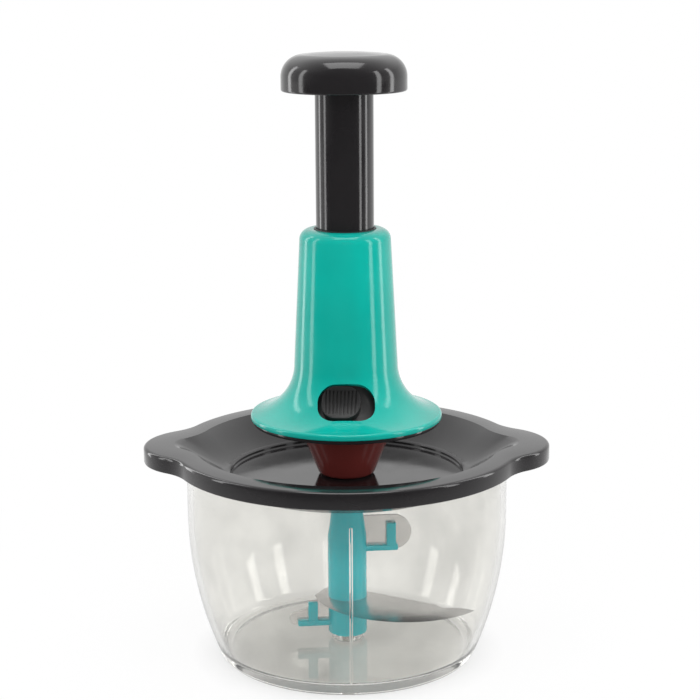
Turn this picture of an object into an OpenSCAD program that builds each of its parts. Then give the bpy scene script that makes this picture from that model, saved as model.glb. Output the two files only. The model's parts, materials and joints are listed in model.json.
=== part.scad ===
// Push-down rotary food chopper: a clear bowl, a dished lid with two ears, a bell tower on a
// pedestal, a palm knob on a plunger, a spiral drive with a one-way clutch, and a bladed post.
// The axis is Z, the bowl stands on Z = 0, and the lock faces -Y.

/* [Bowl] */
// Outer diameter of the bowl at its rim
bowl_rim_d = 150; // [140:1:158]
// Height of the bowl
bowl_h = 95.4; // [90:0.1:105]
// Thickness of the bowl's side wall
bowl_wall = 2.6; // [2:0.1:3.5]
// Thickness of the bowl's floor
bowl_floor = 6; // [4:0.1:7]
// Height of the straight band below the rim
bowl_band = 25.3; // [18:0.1:32]
// Radius of the belly's curve
belly_r = 170; // [155:1:200]
// Radius of the heel outside
heel_r = 5.2; // [3:0.1:8]
// Radius of the corner inside
inner_heel_r = 4; // [2:0.1:6]
// Diameter of the boss on the floor
boss_d = 14; // [12:0.1:17]
// Height of the boss above the floor
boss_h = 2.6; // [1.5:0.1:4]
// Diameter of the steel pin that the post turns on
pin_d = 6; // [5:0.1:6.5]
// Height of the pin above the floor
pin_h = 30; // [24:0.5:36]
// Depth of the pin in the floor
pin_sink = 3.5; // [2:0.1:5]

/* [Lid] */
// Diameter of the lid's round flange
lid_d = 162; // [158:1:178]
// Distance from the axis to an ear's tip
ear_reach = 95; // [92:0.5:105]
// Radius of an ear's tip
ear_r = 28; // [24:0.5:32]
// Radius of the hollow curve between the flange and an ear
ear_fillet = 25; // [15:0.5:40]
// Thickness of the flange
flange_t = 6.2; // [5:0.1:8]
// Height of the flange's outer edge
edge_h = 8; // [7:0.1:10]
// Width of the skirt under the flange's edge
skirt_w = 3; // [2:0.1:4]
// Width of the flat border round the dish
dish_border = 10; // [8:0.1:12]
// Width of the flat border at an ear's tip
ear_border = 15; // [13:0.1:18]
// Depth of the dish
dish_depth = 14.8; // [13:0.1:16]
// Radius of the dish at the ledge round its floor
dish_r = 57; // [50:0.5:59]
// Thickness of the dish's floor
dish_t = 2.6; // [2:0.1:4]
// Height of the ledge above the dish's floor
ledge_h = 2; // [1:0.1:2.5]
// Width of the ledge
ledge_w = 2.6; // [1:0.1:4]
// Height of the plug that fits the bowl's rim
plug_h = 3.8; // [3.4:0.1:4.4]
// Height of the seal ring
seal_h = 2.2; // [1.8:0.1:2.4]
// Depth of the seal's seat in the plug
seal_seat = 1.4; // [1:0.1:2]
// Height of the nut under the lid
clamp_h = 2.8; // [2.2:0.1:3.4]
// Size of the clamp nut across its flats
clamp_af = 26; // [24:0.5:32]

/* [Pedestal] */
// Height of the pedestal between the dish and the tower's base plate
pedestal_h = 25.6; // [24:0.1:30]
// Diameter of the pedestal's foot
foot_d = 25.4; // [25:0.1:30]
// Diameter of the pedestal at its top
crown_d = 46; // [44:0.1:47]
// Radius of the foot's lower edge
foot_round = 3; // [1:0.1:4]
// Thickness of the pedestal's floor
pedestal_floor = 2; // [1.5:0.1:3]
// Diameter of the threaded neck through the lid
neck_d = 18; // [17:0.1:20]
// Diameter of the flange inside the tower
crown_flange_d = 58; // [57:0.5:60]
// Thickness of that flange
crown_flange_t = 2.5; // [2:0.1:3]

/* [Tower] */
// Height of the tower
tower_h = 88.7; // [84:0.1:100]
// Diameter of the tower's base
tower_base_d = 89; // [85:0.5:92]
// Diameter where the flare begins
tower_neck_d = 48; // [47:0.1:50]
// Diameter under the rounded top
tower_top_d = 42; // [41.5:0.1:45]
// Radius of the flare
flare_r = 23.6; // [22:0.1:26]
// Height of the lip under the flare
lip_h = 2.4; // [2:0.1:3.5]
// Radius of the lip's upper edge
lip_round = 1.4; // [0.5:0.1:2]
// Thickness of the tower's wall
tower_wall = 2.4; // [2:0.1:2.5]
// Thickness of the tower's top
tower_cap = 3; // [2:0.1:4]
// Radius of the tower's upper edge
top_round = 5; // [3:0.1:6]
// Thickness of the base plate
plate_t = 1.8; // [1.5:0.1:2.4]
// How far the base plate stands back behind the lip
plate_inset = 1; // [0.5:0.1:2]

/* [Plunger] */
// Diameter of the plunger
plunger_d = 26.5; // [25.5:0.1:27]
// Thickness of the plunger's wall
plunger_wall = 2; // [1.6:0.1:2.4]
// Length of the plunger that shows above the tower
plunger_show = 62.2; // [57:0.1:75]
// Length of the press stroke
stroke = 50; // [42:0.5:52]
// Diameter of the knob
knob_d = 57; // [50:0.5:65]
// Height of the knob
knob_h = 17.4; // [17:0.1:24]
// Radius of the knob's upper edge
knob_round = 10; // [6:0.1:11]
// Rise of the knob's crown
knob_crown = 1; // [0.3:0.1:2]
// Thickness of the knob's wall
knob_wall = 2.4; // [2:0.1:3]
// Height of the plunger's end inside the knob
knob_socket = 6.5; // [5:0.1:8]
// Thickness of the web that closes the plunger
web_t = 2.5; // [2:0.1:3]

/* [Drive] */
// Width of the spiral rod's bar
rod_w = 8; // [7:0.1:9]
// Thickness of the spiral rod's bar
rod_t = 3; // [2.5:0.1:3.5]
// Advance of the spiral in one turn
rod_lead = 25; // [20:0.5:32]
// Diameter of the rod's journal
rod_journal_d = 6; // [5.5:0.1:6.5]
// Outer diameter of the return spring
spring_d = 24; // [22.5:0.1:25]
// Diameter of the spring's wire
spring_wire = 1.5; // [1.2:0.1:1.6]
// Number of turns of the spring
spring_turns = 8; // [6:1:9]
// Diameter of the nut's flange
nut_d = 31; // [30.8:0.1:31.5]
// Thickness of the nut's flange
nut_t = 5; // [4:0.1:6]
// Height of the nut's spigot in the plunger
spigot_h = 8; // [6:0.1:10]
// Thickness of the bearing plate
bearing_t = 3; // [2.5:0.1:4]
// Height of the ratchet wheel
wheel_h = 3.4; // [2.6:0.1:4]
// Diameter of the ratchet wheel over its teeth
wheel_d = 14.4; // [14:0.1:14.6]
// Depth of the ratchet's teeth
tooth_h = 1.2; // [0.9:0.1:1.4]
// Number of teeth, a multiple of the three pawls
teeth = 12; // [9:3:15]
// Thickness of the clutch cup's wall and floor
cup_wall = 1.4; // [1.2:0.1:1.6]
// Diameter of the hub's journal
hub_d = 11; // [10:0.1:11.4]
// Size of the hub's hexagon across its flats
hex_af = 8; // [7:0.1:8.4]
// Length of the hub's hexagon
hex_h = 10; // [8:0.1:12]

/* [Guide] */
// Thickness of the guide tube's wall
guide_wall = 2; // [1.6:0.1:2.2]
// Width of the guide tube's keys
key_w = 3; // [2.4:0.1:3.6]
// Depth of the guide tube's keys
key_depth = 1.6; // [1.2:0.1:1.7]
// Number of keys
keys = 3; // [2:1:3]
// Thickness of the gland ring that shows at the tower's top
gland_w = 0.9; // [0.6:0.1:1.2]
// Height of the gland ring above the tower's top
gland_rise = 0.4; // [0.2:0.1:1]

/* [Lock] */
// Width of the lock's window
window_w = 26; // [22:0.5:28]
// Height of the lock's window along the flare
window_h = 17.5; // [15:0.5:18.5]
// Corner radius of the window
window_round = 7.5; // [4:0.1:8]
// Angle down the flare of the window's middle
window_phi = 33; // [31:0.5:36]
// Width of the lock's button
button_w = 17.5; // [14:0.5:18]
// Height of the button along the flare
button_h = 15.5; // [12:0.5:16]
// How far the button stands out of the flare
button_proud = 0.6; // [0:0.1:1.5]
// Distance between the button's grooves
rib_pitch = 1.7; // [1.4:0.1:2.4]
// Width and depth of the button's grooves
rib_cut = 0.8; // [0.5:0.1:1]
// Turn of the lock in degrees
lock_turn = 10; // [8:0.5:11]
// Thickness of the lock ring
lock_t = 2.8; // [2:0.1:3.4]
// Width of the lock ring
lock_w = 3.4; // [2.4:0.1:3.6]
// Thickness of the slide plate
slide_t = 1.5; // [1.2:0.1:2]
// Thickness of the clip over the lock ring
lock_clip_t = 1; // [0.8:0.1:1.5]

/* [Blades] */
// Diameter of the post
post_d = 18.4; // [18:0.1:21]
// Diameter of the post at its top
post_top_d = 15.2; // [15:0.1:17]
// Height at which the post begins to narrow
shoulder_z = 56.3; // [54:0.1:60]
// Diameter of the post's core inside the blades
core_d = 12; // [11.8:0.1:13]
// Thickness of the blades
blade_t = 1.2; // [0.8:0.1:1.5]
// Width of the ground bevel on the middle blade
bevel_w = 5; // [3:0.1:7]
// Height of the middle blade
middle_z = 26.2; // [25.5:0.1:30]
// Radius of the middle blade's root round the post
root_r = 15; // [13:0.1:17]
// Radius of the middle blade's cutting edge
edge_r = 43.6; // [42:0.1:46]
// Distance of the cutting edge's centre to the right of the axis
edge_x = 27; // [25:0.5:29]
// Distance of the cutting edge's centre behind the axis
edge_y = 10; // [8:0.5:12]
// Distance of the middle blade's tip to the right of the axis
tip_x = 58.8; // [54:0.1:60]
// Distance of the middle blade's tip in front of the axis
tip_y = 19.2; // [17:0.1:22]
// Height of the lower blade's bracket
lower_z = 12.6; // [12.5:0.1:14.5]
// Height of the upper blade's bracket
upper_z = 49.2; // [44:0.1:52]
// Angle of the upper blade about the axis
upper_angle = 5; // [-20:1:40]
// Angle of the lower blade about the axis
lower_angle = 185; // [160:1:220]
// Reach of the upper blade
upper_reach = 30.6; // [28:0.1:34]
// Height of the upper blade
upper_h = 17; // [14:0.5:19]
// Reach of the lower blade
lower_reach = 28; // [24:0.5:32]
// Height of the lower blade at the post
lower_h = 12.2; // [9.5:0.1:12.4]
// Height of the lower blade at its end
lower_end_h = 6.4; // [5:0.1:8]
// Thickness and width of a bracket's bar
bar_t = 2.8; // [2:0.1:3.4]
// Reach of a bracket's bar
bar_reach = 24; // [20:0.5:25]
// Distance of the upper bracket's peg from the axis
upper_peg_x = 18.5; // [16:0.5:19]
// Distance of the lower bracket's peg from the axis
lower_peg_x = 14.5; // [13:0.5:19]

/* [Fits] */
// Radial clearance of running fits
running = 0.05; // [0.03:0.01:0.08]
// Clearance of pieces that are pressed or bonded together
seated = 0.02; // [0.01:0.01:0.03]
// Clearance between pieces that move past each other
gap = 0.3; // [0.2:0.05:0.35]
// Clearance of the lid's plug in the bowl
plug_gap = 0.6; // [0.4:0.1:0.8]
// Length of the knob's screw in the knob
screw_l = 6; // [5:0.1:6.5]
// Diameter of the screws' shanks
screw_d = 3; // [2.4:0.1:3]
// Height of the screws' heads
screw_head_h = 1.4; // [1:0.1:1.5]

/* [Hidden] */
$fn = 96;
// Overshoot of cutting shapes past the faces that they cut
over = 1;

// Colours
teal = [0.03, 0.62, 0.57];
black = [0.12, 0.12, 0.13];
dark_red = [0.42, 0.13, 0.11];
clear = [0.85, 0.87, 0.86, 0.4];
steel = [0.72, 0.72, 0.72];
brass = [0.72, 0.58, 0.3];
nylon = [0.9, 0.88, 0.82];
silicone = [0.75, 0.75, 0.74];

// Heights, from the table up
z_seat = bowl_h + gap;
z_lid_top = z_seat + flange_t;
z_dish = z_lid_top - dish_depth;
z_ledge = z_dish + ledge_h;
z_lid_under = z_dish - dish_t;
z_plate = z_dish + pedestal_h;
z_tower = z_plate + plate_t;
z_top = z_tower + tower_h;
z_knob = z_top + plunger_show;
z_knob_top = z_knob + knob_h;
z_web = z_knob + knob_socket - web_t;

// Bowl
bowl_r = bowl_rim_d / 2;
z_belly = bowl_h - bowl_band;
bowl_in_r = bowl_r - bowl_wall;
pin_r = pin_d / 2;

// Lid
lid_r = lid_d / 2;
plug_r = bowl_in_r - plug_gap;
neck_r = neck_d / 2;
z_neck_end = z_lid_under - seated - clamp_h;
z_plug = z_seat - plug_h;
seal_z = z_plug + (plug_h - seal_h) / 2;

// Clutch chamber and bearings in the pedestal
z_cup = z_dish + pedestal_floor;
z_hub = z_cup + gap;
z_wheel = z_hub + cup_wall + gap;
cup_h = cup_wall + gap + wheel_h + gap;
z_bearing = z_hub + cup_h + gap;
z_spring = z_bearing + bearing_t;
wheel_r = wheel_d / 2;
tooth_pitch = 360 / teeth;
// Room for the pawls between the wheel's teeth and the cup, and a pawl's pivot in its middle
pawl_room = 2.2;
pawls = 3;
pawl_r = wheel_r + pawl_room / 2 - gap;
pawl_half_t = 0.55;
pivot_r = 0.35;
cup_in_r = wheel_r + pawl_room;
cup_r = cup_in_r + cup_wall;
chamber_r = cup_r + gap;
spring_r = spring_d / 2;
// Room round the spring in the pedestal
spring_room = 1.6;
spring_room_r = spring_r + spring_room;
// Walls of the bushes
bush_wall = 2;
hub_bush_wall = 1.4;
hub_r = hub_d / 2;
hub_bush_r = hub_r + running + hub_bush_wall;
rod_r = rod_journal_d / 2;
rod_bush_r = rod_r + running + bush_wall;
bush_flange_w = 1.4;
bush_flange_r = rod_bush_r + bush_flange_w;
bush_flange_t = 0.8;
// Side of the square on the rod's foot that drives the ratchet wheel
square_w = 4.2;
// Clip under the hub's bush, its groove, and the hub's shoulder and hexagon below it
clip_t = 0.8;
clip_groove = 1;
clip_w = 1.6;
hub_shoulder = 1;
z_clip = z_neck_end - gap - clip_t;
z_hub_end = z_clip - hub_shoulder;
z_hex = z_hub_end - hex_h;
z_collar = z_spring + bush_flange_t + gap;
collar_t = 1.5;
z_spiral = z_collar + collar_t;

// Plunger, nut and guide
plunger_r = plunger_d / 2;
bore_r = plunger_r - plunger_wall;
z_nut = z_tower + crown_flange_t - gap + stroke;
z_nut_top = z_nut + nut_t;
z_bush = z_nut_top + gap;
z_spiral_top = z_nut_top + rod_lead / 5;
nut_r = nut_d / 2;
guide_r = nut_r + gap;
guide_out_r = guide_r + guide_wall;
key_r = guide_r - key_depth;
z_guide = z_tower + crown_flange_t;
z_guide_top = z_top - tower_cap;
// Room round the nut in the pedestal, and the ramp that leads down from it
nut_room = 0.7;
nut_room_r = nut_r + nut_room;
nut_ramp = 1;
gland_r = plunger_r + running + gland_w;

// Tower's curves
base_r = tower_base_d / 2;
throat_r = tower_neck_d / 2;
top_r = tower_top_d / 2;
flare_c = throat_r + flare_r;
z_flare = z_tower + lip_h + flare_r;
lip_w = 3;
lip_in_r = base_r - lip_w;
boss_r = 3.2;
boss_pcd_r = crown_flange_d / 2 + boss_r + gap;
boss_turns = [30, 150, 210, 330];
boss_screw_h = 3;
crown_screws = 4;
crown_screw_r = (crown_d + crown_flange_d) / 4;
screw_r = screw_d / 2;
screw_head_r = screw_r * 1.85;

// Lock
z_lock = z_nut_top - stroke + gap;
lock_in_r = guide_out_r + gap;
lock_r = lock_in_r + lock_w;
slide_depth = tower_wall + gap;
window_r = flare_c - flare_r * cos(window_phi);
window_z = z_flare - flare_r * sin(window_phi);
// Radius of the slide plate's back at a height
function slide_back_r(z) = flare_c - sqrt(pow(flare_r + slide_depth + slide_t, 2) - pow(z_flare - z, 2));

// Blades
post_r = post_d / 2;
core_r = core_d / 2;
z_post = bowl_floor + boss_h + gap;
z_post_top = z_hub_end - 3 * gap;
z_socket = z_hex - gap;
post_bush_h = 13;
// Shares of the upright blades' heights that the brackets' pegs reach
upper_peg = 0.8;
lower_peg = 0.96;

// Points of an arc about [x, z], from one angle to another
function arc(x, z, r, from, to, steps = 16) =
    [for (i = [0:steps]) let (a = from + (to - from) * i / steps) [x + r * cos(a), z + r * sin(a)]];

// Radius of the belly's curve, moved inwards by the wall, at height z
function belly_at(z, inset) =
    z >= z_belly ? bowl_r - inset
    : bowl_r - belly_r + sqrt(pow(belly_r - inset, 2) - pow(z_belly - z, 2));

// Half of the bowl's outline, from the axis on the floor out and up to the rim
function bowl_side(z0, heel, inset) =
    let (
        fall = z_belly - z0 - heel,
        centre = bowl_r - belly_r + sqrt(pow(belly_r - inset - heel, 2) - pow(fall, 2)),
        low = -asin(fall / (belly_r - inset - heel))
    )
    concat(
        [[0, z0]],
        arc(centre, z0 + heel, heel, -90, low, 10),
        arc(bowl_r - belly_r, z_belly, belly_r - inset, low, 0, 24)
    );

module ring(inner, outer, height) {
    difference() {
        cylinder(r = outer, h = height);
        translate([0, 0, -over]) cylinder(r = inner, h = height + 2 * over);
    }
}

module hex_bar(flats, height) {
    cylinder(r = flats / 2 / cos(30), h = height, $fn = 6);
}

module around(count, radius = 0) {
    for (i = [0:count - 1]) rotate([0, 0, 90 + i * 360 / count]) translate([radius, 0, 0]) children();
}

module bowl() {
    color(clear)
    difference() {
        union() {
            rotate_extrude()
            difference() {
                polygon(concat(bowl_side(0, heel_r, 0), [[bowl_r, bowl_h], [0, bowl_h]]));
                polygon(concat(
                    bowl_side(bowl_floor, inner_heel_r, bowl_wall),
                    [[bowl_in_r, bowl_h + over], [0, bowl_h + over]]
                ));
            }
            translate([0, 0, bowl_floor - over]) cylinder(d = boss_d, h = boss_h + over);
        }
        translate([0, 0, bowl_floor - pin_sink]) cylinder(r = pin_r + seated, h = pin_sink + boss_h + over);
    }
}

module bowl_pin() {
    tip = 1;
    color(steel)
    translate([0, 0, bowl_floor - pin_sink]) {
        cylinder(r = pin_r, h = pin_sink + pin_h - tip);
        translate([0, 0, pin_sink + pin_h - tip]) cylinder(r1 = pin_r, r2 = pin_r - tip, h = tip);
    }
}

// An L-shaped bracket: a slotted bar out from the post and an upright peg on one side of the blade
module bracket(z, turn, peg_h, peg_x, side) {
    peg_w = 4.5;
    peg_t = 2.6;
    rotate([0, 0, turn]) {
        translate([core_r, -bar_t - blade_t / 2, z]) cube([bar_reach - core_r, 2 * bar_t + blade_t, bar_t]);
        mirror([0, side, 0])
        translate([peg_x, -blade_t / 2 - peg_t, z + bar_t / 2])
        cube([peg_w, blade_t / 2 + peg_t, peg_h - bar_t / 2]);
    }
}

module blade_post() {
    top = post_top_d / 2;
    color(teal)
    difference() {
        union() {
            rotate_extrude()
            polygon([
                [0, z_post], [post_r, z_post], [post_r, shoulder_z],
                [top, (z_post_top + shoulder_z) / 2], [top, z_post_top], [0, z_post_top]
            ]);
            bracket(upper_z, upper_angle, upper_h * upper_peg, upper_peg_x, 0);
            bracket(lower_z, lower_angle, lower_h * lower_peg, lower_peg_x, 1);
        }
        translate([0, 0, z_post - over])
        cylinder(r = pin_r + running, h = bowl_floor + pin_h + 2 * over - z_post);
        translate([0, 0, z_post - over]) cylinder(r = pin_r + bush_wall + seated, h = post_bush_h + over);
        translate([0, 0, z_socket]) hex_bar(hex_af + 2 * gap, z_post_top);
        translate([0, 0, middle_z - blade_t / 2 - seated]) ring(core_r, root_r, blade_t + 2 * seated);
        paddle_slot(upper_z, upper_angle, upper_h);
        paddle_slot(lower_z, lower_angle, lower_h);
    }
}

// Room in the post and in its bracket for an upright blade
module paddle_slot(z, turn, height) {
    rotate([0, 0, turn])
    translate([core_r, -blade_t / 2 - seated, z - seated])
    cube([bar_reach + over - core_r, blade_t + 2 * seated, height + 2 * seated]);
}

module post_bush() {
    color(nylon)
    translate([0, 0, z_post + seated]) ring(pin_r + running, pin_r + bush_wall, post_bush_h - 2 * seated);
}

// An upright blade in its bracket, drawn as an outline of distance from the axis and height
module upright_blade(z, turn) {
    rotate([0, 0, turn])
    translate([0, blade_t / 2, z])
    rotate([90, 0, 0])
    linear_extrude(blade_t) children();
}

module upper_blade() {
    end_r = upper_h / 2;
    color(steel)
    upright_blade(upper_z, upper_angle) {
        translate([core_r + seated, 0]) square([upper_reach - end_r - core_r - seated, upper_h]);
        translate([upper_reach - end_r, end_r]) circle(r = end_r);
    }
}

module lower_blade() {
    end_r = lower_end_h / 2;
    color(steel)
    upright_blade(lower_z, lower_angle) {
        polygon([
            [core_r + seated, 0], [lower_reach - end_r, 0], [lower_reach - end_r, lower_end_h],
            [post_r, lower_h], [core_r + seated, lower_h]
        ]);
        translate([lower_reach - end_r, end_r]) circle(r = end_r);
    }
}

module middle_blade() {
    low = -edge_r;
    heel_x = -1.17 * root_r;
    // Lengths and rise of the two straight stretches of the spine behind the tip
    tip_l = 14.3;
    spine_l = 18.3;
    spine_rise = 5.2;
    color(steel)
    translate([0, 0, middle_z - blade_t / 2])
    difference() {
        intersection() {
            linear_extrude(blade_t)
            polygon([
                [tip_x, low], [heel_x, low], [heel_x, 0], [-0.47 * root_r, 0.87 * root_r],
                [0.8 * root_r, root_r / 6], [tip_x - spine_l, spine_rise - tip_y],
                [tip_x - tip_l, spine_rise / 10 - tip_y], [tip_x, -tip_y]
            ]);
            translate([edge_x, edge_y, 0]) cylinder(r1 = edge_r, r2 = edge_r - bevel_w, h = blade_t);
        }
        translate([0, 0, -over]) cylinder(r = core_r + seated, h = blade_t + 2 * over);
    }
}

// The lid's outline, moved inwards: a round flange with an ear on each side, joined by hollow curves
module lid_outline(inset, ear_inset) {
    ear_x = ear_reach - ear_r;
    big = lid_r - inset;
    small = ear_r - ear_inset;
    hollow = ear_fillet + inset;
    hollow_x = (ear_x * ear_x + pow(big + hollow, 2) - pow(small + hollow, 2)) / (2 * ear_x);
    hollow_y = sqrt(pow(big + hollow, 2) - hollow_x * hollow_x);
    circle(r = big);
    for (side = [0, 1]) mirror([side, 0]) {
        translate([ear_x, 0]) circle(r = small);
        difference() {
            polygon([[0, 0], [hollow_x, -hollow_y], [ear_x, 0], [hollow_x, hollow_y]]);
            for (end = [-1, 1]) translate([hollow_x, end * hollow_y]) circle(r = hollow);
        }
    }
}

// The dish's hollow: a rounded outline at the top that narrows to the ledge, and a round floor inside it
module dish_hollow() {
    sheet = 0.01;
    hull() {
        translate([0, 0, z_lid_top]) linear_extrude(over) lid_outline(dish_border, ear_border, $fn = 64);
        translate([0, 0, z_ledge]) cylinder(r = dish_r, h = sheet, $fn = 64);
    }
    translate([0, 0, z_dish]) cylinder(r = dish_r - ledge_w, h = ledge_h + over);
}

module lid() {
    z_edge = z_lid_top - edge_h;
    color(black)
    difference() {
        union() {
            translate([0, 0, z_edge]) linear_extrude(edge_h) lid_outline(0, 0);
            translate([0, 0, z_plug]) cylinder(r = plug_r, h = plug_h + over);
            translate([0, 0, z_lid_under])
            cylinder(r1 = dish_r - ledge_w, r2 = plug_r - 2 * seal_seat, h = z_plug - z_lid_under + over);
        }
        dish_hollow();
        translate([0, 0, z_edge - over])
        linear_extrude(z_seat - z_edge + over)
        difference() {
            lid_outline(skirt_w, skirt_w);
            circle(r = plug_r);
        }
        translate([0, 0, seal_z - seated]) ring(plug_r - seal_seat, plug_r + over, seal_h + 2 * seated);
        translate([0, 0, z_lid_under - over]) cylinder(r = neck_r + seated, h = dish_t + 2 * over);
    }
}

module lid_seal() {
    color(silicone)
    translate([0, 0, seal_z]) ring(plug_r - seal_seat + seated, bowl_in_r - gap, seal_h);
}

module lid_clamp_nut() {
    color(black)
    translate([0, 0, z_neck_end])
    difference() {
        hex_bar(clamp_af, clamp_h);
        translate([0, 0, -over]) cylinder(r = neck_r + seated, h = clamp_h + 2 * over);
    }
}

module pedestal() {
    crown_r = crown_d / 2;
    foot_r = foot_d / 2;
    z_flange_top = z_tower + crown_flange_t;
    color(dark_red)
    difference() {
        rotate_extrude()
        polygon(concat(
            [[hub_bush_r + seated, z_neck_end], [neck_r, z_neck_end], [neck_r, z_dish]],
            arc(foot_r - foot_round, z_dish + foot_round, foot_round, -90, 0, 6),
            [
                [crown_r, z_plate], [crown_r, z_tower], [crown_flange_d / 2, z_tower],
                [crown_flange_d / 2, z_flange_top], [nut_room_r, z_flange_top], [nut_room_r, z_plate],
                [spring_room_r, z_plate - nut_ramp], [spring_room_r, z_bearing], [chamber_r, z_bearing],
                [chamber_r, z_cup], [hub_bush_r + seated, z_cup]
            ]
        ));
        around(crown_screws, crown_screw_r)
        translate([0, 0, z_tower - over])
        cylinder(r = screw_r + seated, h = crown_flange_t + 2 * over);
    }
}

module bearing_plate() {
    color(steel)
    translate([0, 0, z_bearing]) ring(rod_bush_r + seated, spring_room_r - seated, bearing_t);
}

module rod_bush() {
    color(brass)
    translate([0, 0, z_bearing]) {
        ring(rod_r + running, rod_bush_r, bearing_t);
        translate([0, 0, bearing_t]) ring(rod_r + running, bush_flange_r, bush_flange_t);
    }
}

module hub_bush() {
    color(brass)
    translate([0, 0, z_neck_end]) ring(hub_r + running, hub_bush_r, z_cup - z_neck_end);
}

module tower_base_plate() {
    color(black)
    translate([0, 0, z_plate])
    difference() {
        ring(crown_d / 2 + seated, base_r - plate_inset, plate_t);
        for (turn = boss_turns) rotate([0, 0, turn]) translate([boss_pcd_r, 0, 0]) {
            translate([0, 0, -over]) cylinder(r = screw_r + seated, h = plate_t + 2 * over);
            translate([0, 0, -over]) cylinder(r = screw_head_r + gap, h = screw_head_h + over);
        }
        around(crown_screws, crown_screw_r)
        translate([0, 0, -over])
        cylinder(r = screw_r + seated, h = plate_t + 2 * over);
    }
}

// A round-headed screw with its head's underside at the origin and its shank upwards
module screw(length) {
    cylinder(r = screw_r, h = length);
    translate([0, 0, -screw_head_h]) cylinder(r = screw_head_r, h = screw_head_h);
}

module base_plate_screws() {
    color(steel)
    for (turn = boss_turns)
        rotate([0, 0, turn])
        translate([boss_pcd_r, 0, z_plate + screw_head_h])
        screw(plate_t - screw_head_h + boss_screw_h);
}

module pedestal_screws() {
    color(steel)
    around(crown_screws, crown_screw_r)
    translate([0, 0, z_tower + crown_flange_t]) rotate([180, 0, 0]) screw(crown_flange_t + plate_t);
}

// The tower's outline on one side, moved inwards by a wall
function tower_outside() = concat(
    [[base_r, z_tower]],
    arc(base_r - lip_round, flare_end_z(base_r - lip_round) - lip_round, lip_round, 0, 90, 6),
    arc(flare_c, z_flare, flare_r, 180 + flare_end(base_r - lip_round, flare_r), 180, 24),
    arc(top_r - top_round, z_top - top_round, top_round, 0, 90, 10)
);
function tower_inside() = concat(
    [[top_r - tower_wall, z_top - tower_cap]],
    arc(flare_c, z_flare, flare_r + tower_wall, 180, 180 + flare_end(lip_in_r, flare_r + tower_wall), 24),
    [[lip_in_r, z_tower]]
);
function flare_end(radius, curve) = acos((flare_c - radius) / curve);
function flare_end_z(radius) = z_flare - flare_r * sin(flare_end(radius, flare_r));

module rounded_slab(width, height, corner) {
    square([width - 2 * corner, height], center = true);
    square([width, height - 2 * corner], center = true);
    for (x = [-1, 1], y = [-1, 1])
        translate([x * (width / 2 - corner), y * (height / 2 - corner)]) circle(r = corner);
}

// Places an outline on the flare where the lock is, square to the flare
module at_window() {
    translate([0, -window_r, window_z]) rotate([90 - window_phi, 0, 0]) children();
}

module tower_housing() {
    reach = 2 * slide_depth;
    color(teal)
    difference() {
        union() {
            rotate_extrude()
            polygon(concat(
                tower_outside(),
                [[gland_r + seated, z_top], [gland_r + seated, z_top - tower_cap]],
                tower_inside()
            ));
            intersection() {
                for (turn = boss_turns)
                    rotate([0, 0, turn])
                    translate([boss_pcd_r, 0, z_tower])
                    cylinder(r = boss_r, h = flare_r);
                rotate_extrude() polygon(concat([[0, z_tower]], tower_outside(), [[0, z_top]]));
            }
        }
        for (turn = boss_turns)
            rotate([0, 0, turn])
            translate([boss_pcd_r, 0, z_tower - over])
            cylinder(r = screw_r + seated, h = boss_screw_h + seated + over);
        at_window()
        translate([0, 0, -reach])
        linear_extrude(2 * reach) rounded_slab(window_w, window_h, window_round);
    }
}

module guide_tube() {
    collar_h = 1.6;
    window_tall = lock_t + 2 * gap;
    slot_w = key_w + 2 * guide_out_r * sin(lock_turn / 2) + 2 * gap;
    color(nylon)
    difference() {
        union() {
            translate([0, 0, z_guide]) ring(guide_r, guide_out_r, z_guide_top - z_guide);
            around(keys)
            translate([key_r, -key_w / 2, z_guide])
            cube([key_depth + guide_wall / 2, key_w, z_nut_top - z_guide]);
            translate([0, 0, z_lock - gap - collar_h])
            ring(guide_out_r - guide_wall / 2, lock_r - gap, collar_h);
        }
        rotate([0, 0, lock_turn / 2])
        around(keys)
        translate([key_r - over, -slot_w / 2, z_lock - gap])
        cube([2 * lock_w + key_depth, slot_w, window_tall]);
    }
}

module guide_bush() {
    color(black)
    rotate_extrude()
    polygon([
        [plunger_r + running, z_bush], [guide_r - seated, z_bush], [guide_r - seated, z_guide_top],
        [gland_r, z_guide_top], [gland_r, z_top + gland_rise], [plunger_r + running, z_top + gland_rise]
    ]);
}

module lock_ring() {
    lug_r = key_r;
    tab_w = 8;
    tab_step = 0.2;
    tab_start = lock_r - lock_w / 2;
    tab_end = sqrt(pow(slide_back_r(z_lock + lock_t) - seated, 2) - pow(tab_w / 2, 2));
    color(nylon)
    translate([0, 0, z_lock]) {
        ring(lock_in_r, lock_r, lock_t);
        around(keys)
        translate([lug_r, -key_w / 2, 0])
        cube([lock_in_r - lug_r + lock_w / 2, key_w, lock_t]);
        rotate([0, 0, -lock_turn / 2])
        translate([-tab_w / 2, -tab_end, tab_step])
        cube([tab_w, tab_end - tab_start, lock_t - 2 * tab_step]);
    }
}

module lock_ring_clip() {
    color(steel)
    translate([0, 0, z_lock + lock_t + gap])
    difference() {
        ring(guide_out_r + seated, guide_out_r + lock_w / 2, lock_clip_t);
        translate([-key_w, 0, -over]) cube([2 * key_w, lock_r, lock_clip_t + 2 * over]);
    }
}

// A shell that follows the flare between two depths below its surface
module flare_shell(shallow, deep) {
    first = 4;
    last = 80;
    rotate_extrude()
    polygon(concat(
        arc(flare_c, z_flare, flare_r + shallow, 180 + first, 180 + last, 24),
        arc(flare_c, z_flare, flare_r + deep, 180 + last, 180 + first, 24)
    ));
}

// A piece of that shell behind an outline in the lock's window, at the unlocked place
module on_flare(shallow, deep) {
    reach = deep + flare_r / 4;
    rotate([0, 0, -lock_turn / 2])
    intersection() {
        flare_shell(shallow, deep);
        at_window() translate([0, 0, -reach]) linear_extrude(2 * reach) children();
    }
}

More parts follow.
